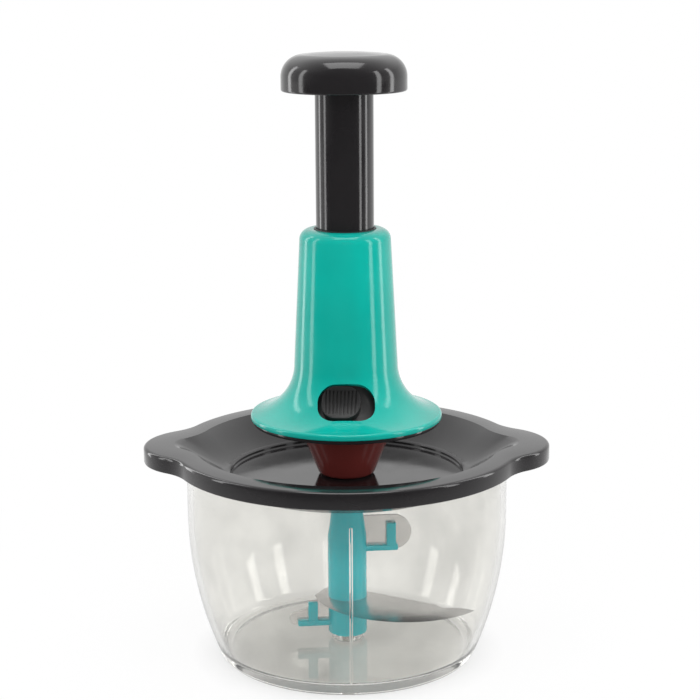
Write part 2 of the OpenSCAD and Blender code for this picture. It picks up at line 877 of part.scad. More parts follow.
module lock_slide_plate() {
    travel = window_r * sin(lock_turn);
    margin = 0.8;
    color(black)
    on_flare(slide_depth, slide_depth + slide_t)
    rounded_slab(window_w + travel + 2 * margin, window_h + 2 * margin, window_round);
}

module lock_button() {
    grooves = floor((button_w - 2 * rib_pitch) / rib_pitch / 2);
    corner = window_round - (window_h - button_h) / 2;
    color(black)
    difference() {
        on_flare(-button_proud, slide_depth - seated) rounded_slab(button_w, button_h, corner);
        on_flare(-button_proud - over, rib_cut - button_proud)
        for (i = [-grooves:grooves])
            translate([i * rib_pitch, 0]) square([rib_cut, button_h - 2 * rib_pitch], center = true);
    }
}

module plunger_tube() {
    color(black)
    translate([0, 0, z_nut_top])
    difference() {
        cylinder(r = plunger_r, h = z_web + web_t - z_nut_top);
        translate([0, 0, -over]) cylinder(r = bore_r, h = z_web - z_nut_top + over);
        cylinder(r = screw_r + seated, h = z_knob_top - z_nut_top);
    }
}

// Half of the knob's outline, moved inwards by a wall
function knob_side(inset) =
    let (
        edge_r = knob_d / 2 - inset,
        corner = knob_round - inset,
        z_crown = z_knob_top - inset,
        half = edge_r - corner,
        dome_r = (half * half + knob_crown * knob_crown) / (2 * knob_crown)
    )
    concat(
        arc(half, z_crown - knob_crown - corner, corner, 0, 90, 12),
        [for (i = [1:8]) let (x = half * (1 - i / 8)) [x, z_crown - dome_r + sqrt(dome_r * dome_r - x * x)]]
    );

module push_knob() {
    skirt_round = 1;
    stem_wall = 4.5;
    stem_r = screw_r + stem_wall;
    z_stem = z_web + web_t;
    inside = knob_side(knob_wall);
    color(black)
    difference() {
        union() {
            rotate_extrude()
            polygon(concat(
                [[knob_d / 2 - knob_wall, z_knob]],
                arc(knob_d / 2 - skirt_round, z_knob + skirt_round, skirt_round, -90, 0, 5),
                knob_side(0),
                [for (i = [1:len(inside)]) inside[len(inside) - i]]
            ));
            translate([0, 0, z_stem])
            cylinder(r = stem_r, h = z_knob_top - knob_crown - knob_wall / 2 - z_stem);
        }
        translate([0, 0, z_web - over]) cylinder(r = screw_r + seated, h = web_t + screw_l + over);
    }
}

module knob_base() {
    color(black)
    translate([0, 0, z_knob + gap]) ring(plunger_r + seated, knob_d / 2 - knob_wall - seated, knob_wall);
}

module knob_screw() {
    color(steel)
    translate([0, 0, z_web]) screw(web_t + screw_l);
}

// The twisted bar, grown by a clearance, between two heights
module twisted_bar(from, to, clearance) {
    step = rod_lead / 36;
    turn = 360 * (to - from) / rod_lead;
    translate([0, 0, from])
    rotate([0, 0, -360 * (from - z_spiral) / rod_lead])
    linear_extrude(to - from, twist = turn, slices = ceil((to - from) / step), segments = 8)
    square([rod_w + 2 * clearance, rod_t + 2 * clearance], center = true);
}

module drive_nut() {
    color(nylon)
    difference() {
        union() {
            translate([0, 0, z_nut]) cylinder(r = nut_r, h = nut_t);
            translate([0, 0, z_nut_top]) cylinder(r = bore_r - seated, h = spigot_h);
        }
        twisted_bar(z_nut - over, z_nut_top + spigot_h + over, gap);
        around(keys)
        translate([key_r - gap, -key_w / 2 - gap, z_nut - over])
        cube([key_depth + over, key_w + 2 * gap, nut_t + over + seated]);
    }
}

// Points round the spring's wire at each step along its coil
coil_r = spring_r - spring_wire / 2;
coil_low = z_spring + spring_wire / 2 + seated;
coil_high = z_nut - spring_wire / 2 - seated;
coil_steps = 8 * spring_turns;
wire_sides = 6;
function coil_at(step) =
    let (turn = 360 * spring_turns * step / coil_steps)
    [coil_r * cos(turn), coil_r * sin(turn), coil_low + (coil_high - coil_low) * step / coil_steps];
function wire_ring(step) =
    let (turn = 360 * spring_turns * step / coil_steps, centre = coil_at(step))
    [for (k = [0:wire_sides - 1])
        let (a = 360 * k / wire_sides, out = spring_wire / 2 * cos(a))
        centre + [out * cos(turn), out * sin(turn), spring_wire / 2 * sin(a)]];
wire_points = [for (step = [0:coil_steps]) each wire_ring(step)];
wire_faces = concat(
    [for (step = [0:coil_steps - 1], k = [0:wire_sides - 1])
        let (a = step * wire_sides + k, b = step * wire_sides + (k + 1) % wire_sides)
        each [[a, a + wire_sides, b], [b, a + wire_sides, b + wire_sides]]],
    [for (k = [1:wire_sides - 2]) each [
        [0, k, k + 1],
        [coil_steps * wire_sides, coil_steps * wire_sides + k + 1, coil_steps * wire_sides + k]
    ]]
);
// Least gap between one turn of the wire and the next
turn_gap = min([
    for (i = [0:4:coil_steps], j = [0:4:coil_steps])
        if (abs(i - j) >= 4) norm(coil_at(i) - coil_at(j)) - spring_wire
]);
echo(turn_gap = turn_gap);

module return_spring() {
    color(steel) polyhedron(points = wire_points, faces = wire_faces, convexity = 10);
}

module spiral_rod() {
    color(steel) {
        translate([-square_w / 2, -square_w / 2, z_wheel]) cube([square_w, square_w, wheel_h]);
        translate([0, 0, z_wheel + wheel_h]) cylinder(r = rod_r, h = z_collar - z_wheel - wheel_h);
        translate([0, 0, z_collar]) cylinder(r = bush_flange_r, h = collar_t);
        twisted_bar(z_spiral, z_spiral_top, 0);
    }
}

function polar(r, a) = r * [cos(a), sin(a)];

module ratchet_wheel() {
    color(steel)
    translate([0, 0, z_wheel])
    linear_extrude(wheel_h)
    mirror([0, 1])
    difference() {
        polygon([for (i = [0:teeth - 1]) each [
            polar(wheel_r - tooth_h, i * tooth_pitch), polar(wheel_r, (i + 1) * tooth_pitch)
        ]]);
        square(square_w + 2 * seated, center = true);
    }
}

// Places the pawls' outlines round the axis, facing the way that the wheel drives
module each_pawl() {
    mirror([0, 1]) for (i = [0:pawls - 1]) rotate([0, 0, 360 * i / pawls]) children();
}

// A pawl's outline, with its angles as shares of the teeth's pitch
module ratchet_pawls() {
    bite = wheel_r - tooth_h / 2;
    outer = pawl_r + pawl_half_t;
    inner = wheel_r + gap;
    tail = -0.3 * tooth_pitch;
    back = 0.4 * tooth_pitch;
    face = 1.05 * tooth_pitch;
    tip = 1.08 * tooth_pitch;
    heel = 1.16 * tooth_pitch;
    nose = 1.4 * tooth_pitch;
    color(steel)
    translate([0, 0, z_wheel + seated])
    linear_extrude(wheel_h - 2 * seated)
    each_pawl()
    difference() {
        polygon([
            polar(outer, tail), polar(outer + pawl_half_t, back), polar(outer, heel), polar(pawl_r, nose),
            polar(bite, heel), polar(bite, tip), polar(inner, face), polar(inner, back), polar(inner, tail)
        ]);
        translate([pawl_r, 0]) circle(r = pivot_r + running);
    }
}

module drive_hub() {
    color(nylon)
    difference() {
        union() {
            translate([0, 0, z_hub]) cylinder(r = cup_r, h = cup_h);
            translate([0, 0, z_hub_end]) cylinder(r = hub_r, h = z_hub - z_hub_end);
            translate([0, 0, z_hex]) hex_bar(hex_af, hex_h);
        }
        translate([0, 0, z_hub + cup_wall]) cylinder(r = cup_in_r, h = cup_h);
        translate([0, 0, z_clip - seated]) ring(hub_r - clip_groove, hub_r + over, clip_t + 2 * seated);
    }
    color(nylon)
    translate([0, 0, z_hub + cup_wall / 2])
    linear_extrude(cup_h - cup_wall / 2 - gap)
    each_pawl() translate([pawl_r, 0]) circle(r = pivot_r);
}

module hub_clip() {
    mouth = hub_r;
    color(steel)
    translate([0, 0, z_clip])
    difference() {
        ring(hub_r - clip_groove + seated, hub_r + clip_w, clip_t);
        translate([-mouth / 2, 0, -over]) cube([mouth, hub_r + clip_w + over, clip_t + 2 * over]);
    }
}

bowl();
bowl_pin();
blade_post();
post_bush();
upper_blade();
middle_blade();
lower_blade();
lid();
lid_seal();
lid_clamp_nut();
pedestal();
bearing_plate();
rod_bush();
hub_bush();
tower_base_plate();
base_plate_screws();
pedestal_screws();
tower_housing();
guide_tube();
guide_bush();
lock_ring();
lock_ring_clip();
lock_slide_plate();
lock_button();
plunger_tube();
push_knob();
knob_base();
knob_screw();
drive_nut();
return_spring();
spiral_rod();
ratchet_wheel();
ratchet_pawls();
drive_hub();
hub_clip();
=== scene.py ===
"""Looks of a push-down rotary food chopper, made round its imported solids.

Lengths are in metres. Z is the plunger's axis, and the lock faces -Y.
"""
import json
import math

import bmesh
import bpy
from bpy.props import FloatProperty, FloatVectorProperty, IntProperty, PointerProperty
from mathutils import Matrix, Vector


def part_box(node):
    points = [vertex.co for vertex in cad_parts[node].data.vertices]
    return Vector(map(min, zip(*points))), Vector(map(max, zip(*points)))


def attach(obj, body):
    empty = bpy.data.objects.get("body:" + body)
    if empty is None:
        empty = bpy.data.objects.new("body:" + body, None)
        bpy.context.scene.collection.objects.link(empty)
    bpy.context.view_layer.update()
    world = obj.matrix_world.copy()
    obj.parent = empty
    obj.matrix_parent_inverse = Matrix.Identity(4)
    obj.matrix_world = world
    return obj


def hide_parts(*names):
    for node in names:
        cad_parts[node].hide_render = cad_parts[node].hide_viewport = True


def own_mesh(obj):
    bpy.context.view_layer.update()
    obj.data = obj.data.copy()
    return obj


bl_info = {
    "name": "Push-down food chopper",
    "version": (1, 0, 0),
    "blender": (4, 5, 0),
    "location": "3D View > Sidebar > Chopper",
    "description": "Builds the chopper's visible pieces and its studio",
    "category": "Add Mesh",
}

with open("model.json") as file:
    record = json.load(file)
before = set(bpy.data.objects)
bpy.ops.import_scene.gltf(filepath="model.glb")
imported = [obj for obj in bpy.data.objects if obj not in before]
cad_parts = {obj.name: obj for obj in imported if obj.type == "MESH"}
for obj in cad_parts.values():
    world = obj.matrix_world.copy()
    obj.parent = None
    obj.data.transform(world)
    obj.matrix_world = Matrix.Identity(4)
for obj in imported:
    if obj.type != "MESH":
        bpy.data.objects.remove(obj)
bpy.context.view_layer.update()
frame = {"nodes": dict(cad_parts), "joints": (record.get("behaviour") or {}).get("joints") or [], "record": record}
SLOTS = {part["node"]: part["material_slot"] for part in frame["record"]["subparts"]}

# Gaps round a piece that is pressed into another, that turns or slides in it, and that drops into it
SEATED = 0.00002
RUNNING = 0.00005
LOOSE = 0.0003
# Degrees past which an edge stays sharp
SHARP = 32
WHITE = (1, 1, 1, 1)


def length(label, text, value):
    """A length that a user may change"""
    return FloatProperty(name=label, description=text, default=value, min=0.0, unit="LENGTH")


def turn(label, text, degrees):
    """An angle that a user may change"""
    return FloatProperty(name=label, description=text, default=math.radians(degrees), unit="ROTATION")


def tint(label, text, value):
    """A colour that a user may change"""
    return FloatVectorProperty(
        name=label, description=text, default=value, size=3, min=0.0, max=1.0, subtype="COLOR"
    )


class ChopperSizes(bpy.types.PropertyGroup):
    """Sizes of the chopper's pieces"""

    bowl_wall: length("Bowl wall", "Thickness of the bowl's side", 0.0026)
    bowl_floor: length("Bowl floor", "Thickness of the bowl's floor", 0.006)
    bowl_band: length("Bowl band", "Height of the straight band below the rim", 0.0253)
    belly: length("Belly", "Radius of the belly's curve", 0.17)
    heel: length("Heel", "Radius of the bowl's heel outside", 0.0052)
    inner_heel: length("Inner heel", "Radius of the bowl's corner inside", 0.004)
    boss_radius: length("Boss radius", "Radius of the boss on the bowl's floor", 0.007)
    boss_rise: length("Boss rise", "Height of the boss above the floor", 0.0026)
    pin_radius: length("Pin radius", "Radius of the pin that the post turns on", 0.003)
    pin_sink: length("Pin sink", "Depth of the pin in the floor", 0.0035)
    bush_wall: length("Bush wall", "Thickness of the bush round the pin", 0.002)
    seam_width: length("Seam width", "Width of the upright seam on the bowl's front", 0.0018)
    seam_top: length("Seam top", "Height of the seam's upper end", 0.0845)
    seam_fall: turn("Seam fall", "Angle of the belly that the seam follows", 21.5)
    seam_place: turn("Seam place", "Angle of the seam round the bowl", -88.8)

    lid_radius: length("Lid radius", "Radius of the lid's round flange", 0.081)
    ear_reach: length("Ear reach", "Distance from the axis to an ear's tip", 0.095)
    ear_radius: length("Ear radius", "Radius of an ear's tip", 0.028)
    ear_hollow: length("Ear hollow", "Radius of the hollow curve beside an ear", 0.025)
    edge_height: length("Edge height", "Height of the lid's outer edge", 0.008)
    edge_round: length("Edge round", "Radius of the lid's upper edge", 0.0016)
    skirt: length("Skirt", "Width of the skirt under the lid's edge", 0.003)
    border: length("Border", "Width of the flat border round the dish", 0.010)
    ear_border: length("Ear border", "Width of the flat border at an ear's tip", 0.015)
    dish_depth: length("Dish depth", "Depth of the dish", 0.0148)
    dish_radius: length("Dish radius", "Radius of the dish at its ledge", 0.057)
    ledge_rise: length("Ledge rise", "Height of the ledge above the dish's floor", 0.002)
    ledge_width: length("Ledge width", "Width of the ledge", 0.0026)
    plug_radius: length("Plug radius", "Radius of the lid's plug", 0.0718)
    plug_height: length("Plug height", "Height of the lid's plug", 0.0038)
    seal_seat: length("Seal seat", "Depth of the seal's seat", 0.0014)
    neck_radius: length("Neck radius", "Radius of the hole for the pedestal's neck", 0.00902)

    foot_radius: length("Foot radius", "Radius of the pedestal's foot", 0.0127)
    crown_radius: length("Crown radius", "Radius of the pedestal's top", 0.023)
    foot_round: length("Foot round", "Radius of the foot's lower edge", 0.003)

    base_radius: length("Base radius", "Radius of the tower's base", 0.0445)
    throat_radius: length("Throat radius", "Radius where the tower's flare begins", 0.024)
    top_radius: length("Top radius", "Radius under the tower's rounded top", 0.021)
    flare: length("Flare", "Radius of the tower's flare", 0.0236)
    lip_height: length("Lip height", "Height of the lip under the flare", 0.0024)
    lip_width: length("Lip width", "Width of the lip's foot", 0.003)
    lip_round: length("Lip round", "Radius of the lip's upper edge", 0.0014)
    tower_wall: length("Tower wall", "Thickness of the tower's wall", 0.0024)
    tower_cap: length("Tower cap", "Thickness of the tower's top", 0.003)
    top_round: length("Top round", "Radius of the tower's upper edge", 0.005)
    gland_radius: length("Gland radius", "Outer radius of the gland ring", 0.0142)

    window_width: length("Window width", "Width of the lock's window", 0.026)
    window_height: length("Window height", "Height of the lock's window along the flare", 0.0175)
    window_round: length("Window round", "Corner radius of the window", 0.0075)
    window_fall: turn("Window fall", "Angle down the flare of the window's middle", 33)
    button_width: length("Button width", "Width of the lock's button", 0.0175)
    button_height: length("Button height", "Height of the lock's button", 0.0155)
    button_proud: length("Button proud", "How far the button stands out of the flare", 0.0006)
    rib_pitch: length("Rib pitch", "Distance between the button's ribs", 0.0017)
    rib_depth: length("Rib depth", "Depth of the grooves between the ribs", 0.0008)
    slide_depth: length("Slide depth", "Depth of the slide plate below the flare", 0.0027)
    slide_thickness: length("Slide thickness", "Thickness of the slide plate", 0.0015)

    knob_radius: length("Knob radius", "Radius of the knob", 0.0285)
    knob_round: length("Knob round", "Radius of the knob's upper edge", 0.010)
    knob_crown: length("Knob crown", "Rise of the knob's crown", 0.001)
    knob_wall: length("Knob wall", "Thickness of the knob's wall", 0.0024)
    plunger_radius: length("Plunger radius", "Radius of the plunger", 0.01325)
    plunger_wall: length("Plunger wall", "Thickness of the plunger's wall", 0.002)

    post_radius: length("Post radius", "Radius of the blade post", 0.0092)
    post_top_radius: length("Post top", "Radius of the blade post at its top", 0.0076)
    shoulder: length("Shoulder", "Height at which the post begins to narrow", 0.0563)
    hexagon: length("Hexagon", "Size of the drive's hexagon across its flats", 0.008)
    bar: length("Bar", "Thickness and width of a bracket's bar", 0.0028)
    bar_reach: length("Bar reach", "Reach of a bracket's bar", 0.024)
    peg: length("Peg", "Thickness of a bracket's peg", 0.0026)
    peg_width: length("Peg width", "Width of a bracket's peg", 0.0045)
    upper_peg: length("Upper peg", "Distance of the upper bracket's peg from the axis", 0.0185)
    lower_peg: length("Lower peg", "Distance of the lower bracket's peg from the axis", 0.0145)
    upper_peg_height: length("Upper peg height", "Height of the upper bracket's peg", 0.0136)
    lower_peg_height: length("Lower peg height", "Height of the lower bracket's peg", 0.0117)
    blade: length("Blade", "Thickness of the blades", 0.0012)
    spring_wire: length("Spring wire", "Diameter of the spring's wire", 0.0015)
    spring_turns: IntProperty(name="Spring turns", description="Turns of the spring", default=8, min=2)


class ChopperColours(bpy.types.PropertyGroup):
    """Colours of the chopper's materials"""

    # The bowl's grey tint is partly smoky plastic and partly painted shade: it darkens what shows through the
    # bowl, standing in for the darker surroundings seen through it
    clear: tint("Clear plastic", "Colour of the bowl", (0.85, 0.845, 0.82))
    teal: tint("Teal plastic", "Colour of the tower", (0.002, 0.375, 0.31))
    # Painted light: the post's teal is the tower's teal made paler, standing in for the light that reaches the
    # post through the bowl
    post: tint("Pale teal plastic", "Colour of the blade post", (0.012, 0.462, 0.525))
    black: tint("Black plastic", "Colour of the lid, plunger and knob", (0.015, 0.0137, 0.0147))
    satin: tint("Satin black", "Colour of the lock and the gland", (0.014, 0.014, 0.014))
    red: tint("Dark red plastic", "Colour of the pedestal", (0.20, 0.036, 0.031))
    steel: tint("Steel", "Colour of the blades and the rod", (0.62, 0.61, 0.60))
    zinc: tint("Zinc", "Colour of the plated steel", (0.56, 0.57, 0.58))
    brass: tint("Brass", "Colour of the bushes", (0.62, 0.43, 0.17))
    nylon: tint("Nylon", "Colour of the drive's plastic", (0.74, 0.70, 0.60))
    silicone: tint("Silicone", "Colour of the seal", (0.42, 0.42, 0.41))


def sizes():
    """The scene's sizes"""
    return bpy.context.scene.chopper_sizes


def joint(name):
    """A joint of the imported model"""
    return next(row for row in frame["joints"] if row["name"] == name)


def picked(geom, kind=bmesh.types.BMVert):
    """The parts of one kind among those that an operator made"""
    return [part for part in geom if isinstance(part, kind)]


def move(bm, vec, verts=None):
    """Moves some vertices, or the whole shape"""
    bmesh.ops.translate(bm, vec=vec, verts=verts or bm.verts[:])


def swing(bm, angle, axis="Z"):
    """Turns the shape about an axis through the origin"""
    bmesh.ops.rotate(bm, cent=(0, 0, 0), matrix=Matrix.Rotation(angle, 3, axis), verts=bm.verts[:])


def face_outwards(bm):
    """Points every face outwards"""
    bmesh.ops.recalc_face_normals(bm, faces=bm.faces[:])


def bevel(bm, geom, width, segments, affect="EDGES", clamp=False):
    """Rounds edges, or corners by their setback"""
    kind = "OFFSET" if affect == "EDGES" else "ABSOLUTE"
    bmesh.ops.bevel(
        bm, geom=geom, offset=width, offset_type=kind, segments=segments, profile=0.5, affect=affect,
        material=-1, clamp_overlap=clamp,
    )


class Outline:
    """A line of radius and height that is turned round the axis, with its corners rounded"""

    def __init__(self, radius, height):
        self.bm = bmesh.new()
        self.first = self.last = self.bm.verts.new((radius, 0, height))
        self.corners = []

    def line(self, *points):
        """Straight stretches to points, which may have the radius of a rounded corner as a third number"""
        for radius, height, *rounded in points:
            made = bmesh.ops.extrude_vert_indiv(self.bm, verts=[self.last])
            self.last = made["verts"][0]
            self.last.co = (radius, 0, height)
            self.corners += [(self.last, size) for size in rounded]
        return self

    def arc(self, radius, height, angle, steps=12):
        """A round stretch about a centre"""
        made = bmesh.ops.spin(
            self.bm, geom=[self.last], cent=(radius, 0, height), axis=(0, -1, 0), angle=angle, steps=steps
        )
        self.last = picked(made["geom_last"])[0]
        return self

    def close(self):
        """Joins the end to the start"""
        self.bm.edges.new((self.last, self.first))
        return self

    def round_corners(self):
        """Rounds the marked corners, each by its own radius"""
        for corner, radius in self.corners:
            one, two = [(edge.other_vert(corner).co - corner.co) for edge in corner.link_edges]
            bevel(self.bm, [corner], radius / math.tan(one.angle(two) / 2), 6, "VERTICES")

    def turned(self, steps=144):
        """The solid that the line makes when it is turned"""
        self.round_corners()
        bm = self.bm
        bmesh.ops.spin(
            bm, geom=bm.verts[:] + bm.edges[:], cent=(0, 0, 0), axis=(0, 0, 1), angle=math.tau,
            steps=steps, use_merge=True,
        )
        bmesh.ops.remove_doubles(bm, verts=bm.verts[:], dist=1e-7)
        on_axis = [edge for edge in bm.edges if edge.is_wire]
        bmesh.ops.delete(bm, geom=on_axis, context="EDGES")
        face_outwards(bm)
        return bm


def slab(width, height, corner, segments=10):
    """A flat face with rounded corners"""
    bm = bmesh.new()
    bmesh.ops.create_grid(bm, x_segments=1, y_segments=1, size=0.5)
    bmesh.ops.scale(bm, vec=(width, height, 1), verts=bm.verts[:])
    bevel(bm, bm.verts[:], corner, segments, "VERTICES")
    return bm


def thicken(bm, depth):
    """Makes flat faces into a solid that reaches down by a depth"""
    made = bmesh.ops.extrude_face_region(bm, geom=bm.faces[:], use_keep_orig=True)
    move(bm, (0, 0, -depth), picked(made["geom"]))
    face_outwards(bm)


def soften_edges(bm, width, angle=35, segments=2):
    """Rounds every edge that is sharper than an angle"""
    sharp = [edge for edge in bm.edges if edge.is_manifold and edge.calc_face_angle() > math.radians(angle)]
    bevel(bm, sharp, width, segments, clamp=True)


def new_object(bm, name):
    """A smooth object from a shape, which is used up"""
    for face in bm.faces:
        face.smooth = True
    mesh = bpy.data.meshes.new(name)
    bm.to_mesh(mesh)
    bm.free()
    made = bpy.data.objects.new(name, mesh)
    bpy.context.scene.collection.objects.link(made)
    return made


def piece(bm, name, body, node, finish_slot=None, sharp=SHARP):
    """A finished object that rides on a body and stands for a node"""
    made = new_object(bm, name)
    made.data.set_sharp_from_angle(angle=math.radians(sharp))
    made.data.materials.append(material(finish_slot or SLOTS[node]))
    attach(made, body)
    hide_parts(node)
    return made


def combine(made, bm, operation):
    """Cuts a shape out of a finished object, or joins it on"""
    tool = new_object(bm, "tool")
    change = made.modifiers.new("change", "BOOLEAN")
    change.operation = operation
    change.solver = "EXACT"
    change.object = tool
    result = made.evaluated_get(bpy.context.evaluated_depsgraph_get())
    bm = bmesh.new()
    bm.from_mesh(result.to_mesh())
    made.modifiers.clear()
    bpy.data.objects.remove(tool)
    bmesh.ops.remove_doubles(bm, verts=bm.verts[:], dist=2e-6)
    bmesh.ops.dissolve_degenerate(bm, edges=bm.edges[:], dist=1e-6)
    face_outwards(bm)
    bm.to_mesh(made.data)
    bm.free()
    made.data.set_sharp_from_angle(angle=math.radians(SHARP))


def cad_copy(node, width):
    """A node's solid with its triangles merged and its edges softened"""
    bm = bmesh.new()
    bm.from_mesh(frame["nodes"][node].data)
    bmesh.ops.remove_doubles(bm, verts=bm.verts[:], dist=1e-6)
    bmesh.ops.dissolve_limit(
        bm, angle_limit=math.radians(0.5), use_dissolve_boundaries=False, verts=bm.verts[:], edges=bm.edges[:]
    )
    soften_edges(bm, width)
    return bm


def add(tree, kind, inputs=None, **settings):
    """A node with its settings, and with a value or a link for each input that is given"""
    made = tree.nodes.new(kind)
    for key, value in settings.items():
        setattr(made, key, value)
    for key, value in (inputs or {}).items():
        if isinstance(value, bpy.types.NodeSocket):
            tree.links.new(value, made.inputs[key])
        else:
            made.inputs[key].default_value = value
    return made


def put_out(tree, node, values):
    """Links values to a node's inputs"""
    for label, value in values.items():
        tree.links.new(value, node.inputs[label])


def blend(tree, share, one, two, output):
    """Shows a mix of two shaders"""
    mixed = add(tree, "ShaderNodeMixShader", {"Fac": share, 1: one.outputs[0], 2: two.outputs[0]})
    put_out(tree, tree.nodes[output], {"Surface": mixed.outputs["Shader"]})


def new_group(name, inputs, outputs):
    """An empty shader node group with its sockets"""
    tree = bpy.data.node_groups.new(name, "ShaderNodeTree")
    for direction, sockets in (("INPUT", inputs), ("OUTPUT", outputs)):
        for label, kind in sockets.items():
            tree.interface.new_socket(label, in_out=direction, socket_type="NodeSocket" + kind)
    return tree, add(tree, "NodeGroupInput").outputs, add(tree, "NodeGroupOutput")


def surface_group(name):
    """An empty group for the marks on a surface"""
    return new_group(
        name,
        {"Colour": "Color", "Roughness": "Float", "Marks": "Float"},
        {"Colour": "Color", "Roughness": "Float", "Height": "Float"},
    )


def coordinate(tree, space, axis=None):
    """Coordinates in a space, or one of them"""
    place = add(tree, "ShaderNodeTexCoord").outputs[space]
    if not axis:
        return place
    return add(tree, "ShaderNodeSeparateXYZ", {"Vector": place}).outputs[axis]


def noise(tree, scale, detail, stretch=(1, 1, 1)):
    """Noise on object coordinates"""
    mapping = add(tree, "ShaderNodeMapping", {"Vector": coordinate(tree, "Object"), "Scale": stretch})
    values = {"Vector": mapping.outputs["Vector"], "Scale": scale, "Detail": detail}
    return add(tree, "ShaderNodeTexNoise", values).outputs["Fac"]


def spread(tree, source, low, high, start=0.0, end=1.0, **settings):
    """Maps a value onto another span"""
    spans = {"Value": source, "From Min": start, "From Max": end, "To Min": low, "To Max": high}
    return add(tree, "ShaderNodeMapRange", spans, **settings).outputs["Result"]


def joined(tree, operation, one, two):
    """Two values combined"""
    return add(tree, "ShaderNodeMath", {0: one, 1: two}, operation=operation).outputs["Value"]


def shaded(tree, colour, level):
    """A colour at another brightness"""
    return add(tree, "ShaderNodeHueSaturation", {"Color": colour, "Value": level}).outputs["Color"]


def moulding_marks():
    """Flow marks, fine scratches and orange peel of a moulded surface"""
    tree, given, result = surface_group("moulding_marks")
    flow = spread(tree, noise(tree, 26, 3), 0.90, 1.10, 0.3, 0.7)
    smears = spread(tree, noise(tree, 90, 4), -0.035, 0.045, 0.3, 0.7)
    scratches = spread(tree, noise(tree, 60, 5, (1, 1, 22)), 0.0, 0.05, 0.55, 0.8)
    marks = joined(tree, "MULTIPLY", joined(tree, "ADD", smears, scratches), given["Marks"])
    put_out(tree, result, {
        "Colour": shaded(tree, given["Colour"], flow),
        "Roughness": joined(tree, "ADD", given["Roughness"], marks),
        "Height": noise(tree, 520, 2),
    })
    return tree


def ground_lines():
    """Fine grinding lines and stains of machined metal"""
    tree, given, result = surface_group("ground_lines")
    lines = noise(tree, 90, 4, (0.5, 14, 6))
    stains = spread(tree, noise(tree, 45, 3), 0.95, 1.03, 0.3, 0.7)
    tone = joined(tree, "MULTIPLY", spread(tree, lines, 0.97, 1.02, 0.3, 0.7), stains)
    marks = joined(tree, "MULTIPLY", spread(tree, lines, -0.06, 0.10, 0.3, 0.7), given["Marks"])
    put_out(tree, result, {
        "Colour": shaded(tree, given["Colour"], tone),
        "Roughness": joined(tree, "ADD", given["Roughness"], marks),
        "Height": lines,
    })
    return tree


def edge_wear():
    """Paler and rougher surface along a piece's worn edges"""
    tree, given, result = new_group(
        "edge_wear",
        {"Colour": "Color", "Worn": "Color", "Roughness": "Float", "Amount": "Float"},
        {"Colour": "Color", "Roughness": "Float"},
    )
    shape = add(tree, "ShaderNodeNewGeometry")
    edges = spread(tree, shape.outputs["Pointiness"], 0.0, 1.0, 0.53, 0.62)
    patches = spread(tree, noise(tree, 140, 4), 0.0, 1.0, 0.4, 0.65)
    mask = joined(tree, "MULTIPLY", joined(tree, "MULTIPLY", edges, patches), given["Amount"])
    tones = {"Factor": mask, 6: given["Colour"], 7: given["Worn"]}
    rubbed = joined(tree, "MULTIPLY", mask, 0.15)
    put_out(tree, result, {
        "Colour": add(tree, "ShaderNodeMix", tones, data_type="RGBA").outputs[2],
        "Roughness": joined(tree, "ADD", given["Roughness"], rubbed),
    })
    return tree


def use_group(tree, maker, inputs):
    """A node of a group, which is made when it is first used"""
    group = bpy.data.node_groups.get(maker.__name__) or maker()
    return add(tree, "ShaderNodeGroup", inputs, node_tree=group)


def finish(name, maker, colour, roughness, bump, worn=None, wear=0.0, marks=1.0, **constants):
    """A material from a surface group, with bump, worn edges and plain values of the shader"""
    made = bpy.data.materials.new(name)
    made.use_nodes = True
    tree = made.node_tree
    shader = tree.nodes["Principled BSDF"]
    for label, value in constants.items():
        shader.inputs[label.replace("_", " ")].default_value = value
    last = use_group(tree, maker, {"Colour": (*colour, 1), "Roughness": roughness, "Marks": marks})
    relief = {"Height": last.outputs["Height"], "Strength": bump, "Distance": 0.0002}
    if worn:
        values = {label: last.outputs[label] for label in ("Colour", "Roughness")}
        last = use_group(tree, edge_wear, {"Worn": (*worn, 1), "Amount": wear, **values})
    put_out(tree, shader, {
        "Base Color": last.outputs["Colour"],
        "Roughness": last.outputs["Roughness"],
        "Normal": add(tree, "ShaderNodeBump", relief).outputs["Normal"],
    })
    return made


def let_lamps_through(made, colour):
    """Lets the lamps light what is behind a clear material"""
    tree = made.node_tree
    thin = [math.sqrt(channel) for channel in colour]
    film = add(tree, "ShaderNodeBsdfTransparent", {"Color": (*thin, 1)})
    shadow = add(tree, "ShaderNodeLightPath").outputs["Is Shadow Ray"]
    blend(tree, shadow, tree.nodes["Principled BSDF"], film, "Material Output")


def matte_foot(made):
    """Roughens a clear material where it stands on the table"""
    tree = made.node_tree
    rough = tree.nodes["Principled BSDF"].inputs["Roughness"]
    polished = rough.links[0].from_socket
    foot = spread(tree, coordinate(tree, "Object", "Z"), 0.45, 0.0, 0.0004, 0.0014)
    tree.links.new(joined(tree, "ADD", polished, foot), rough)
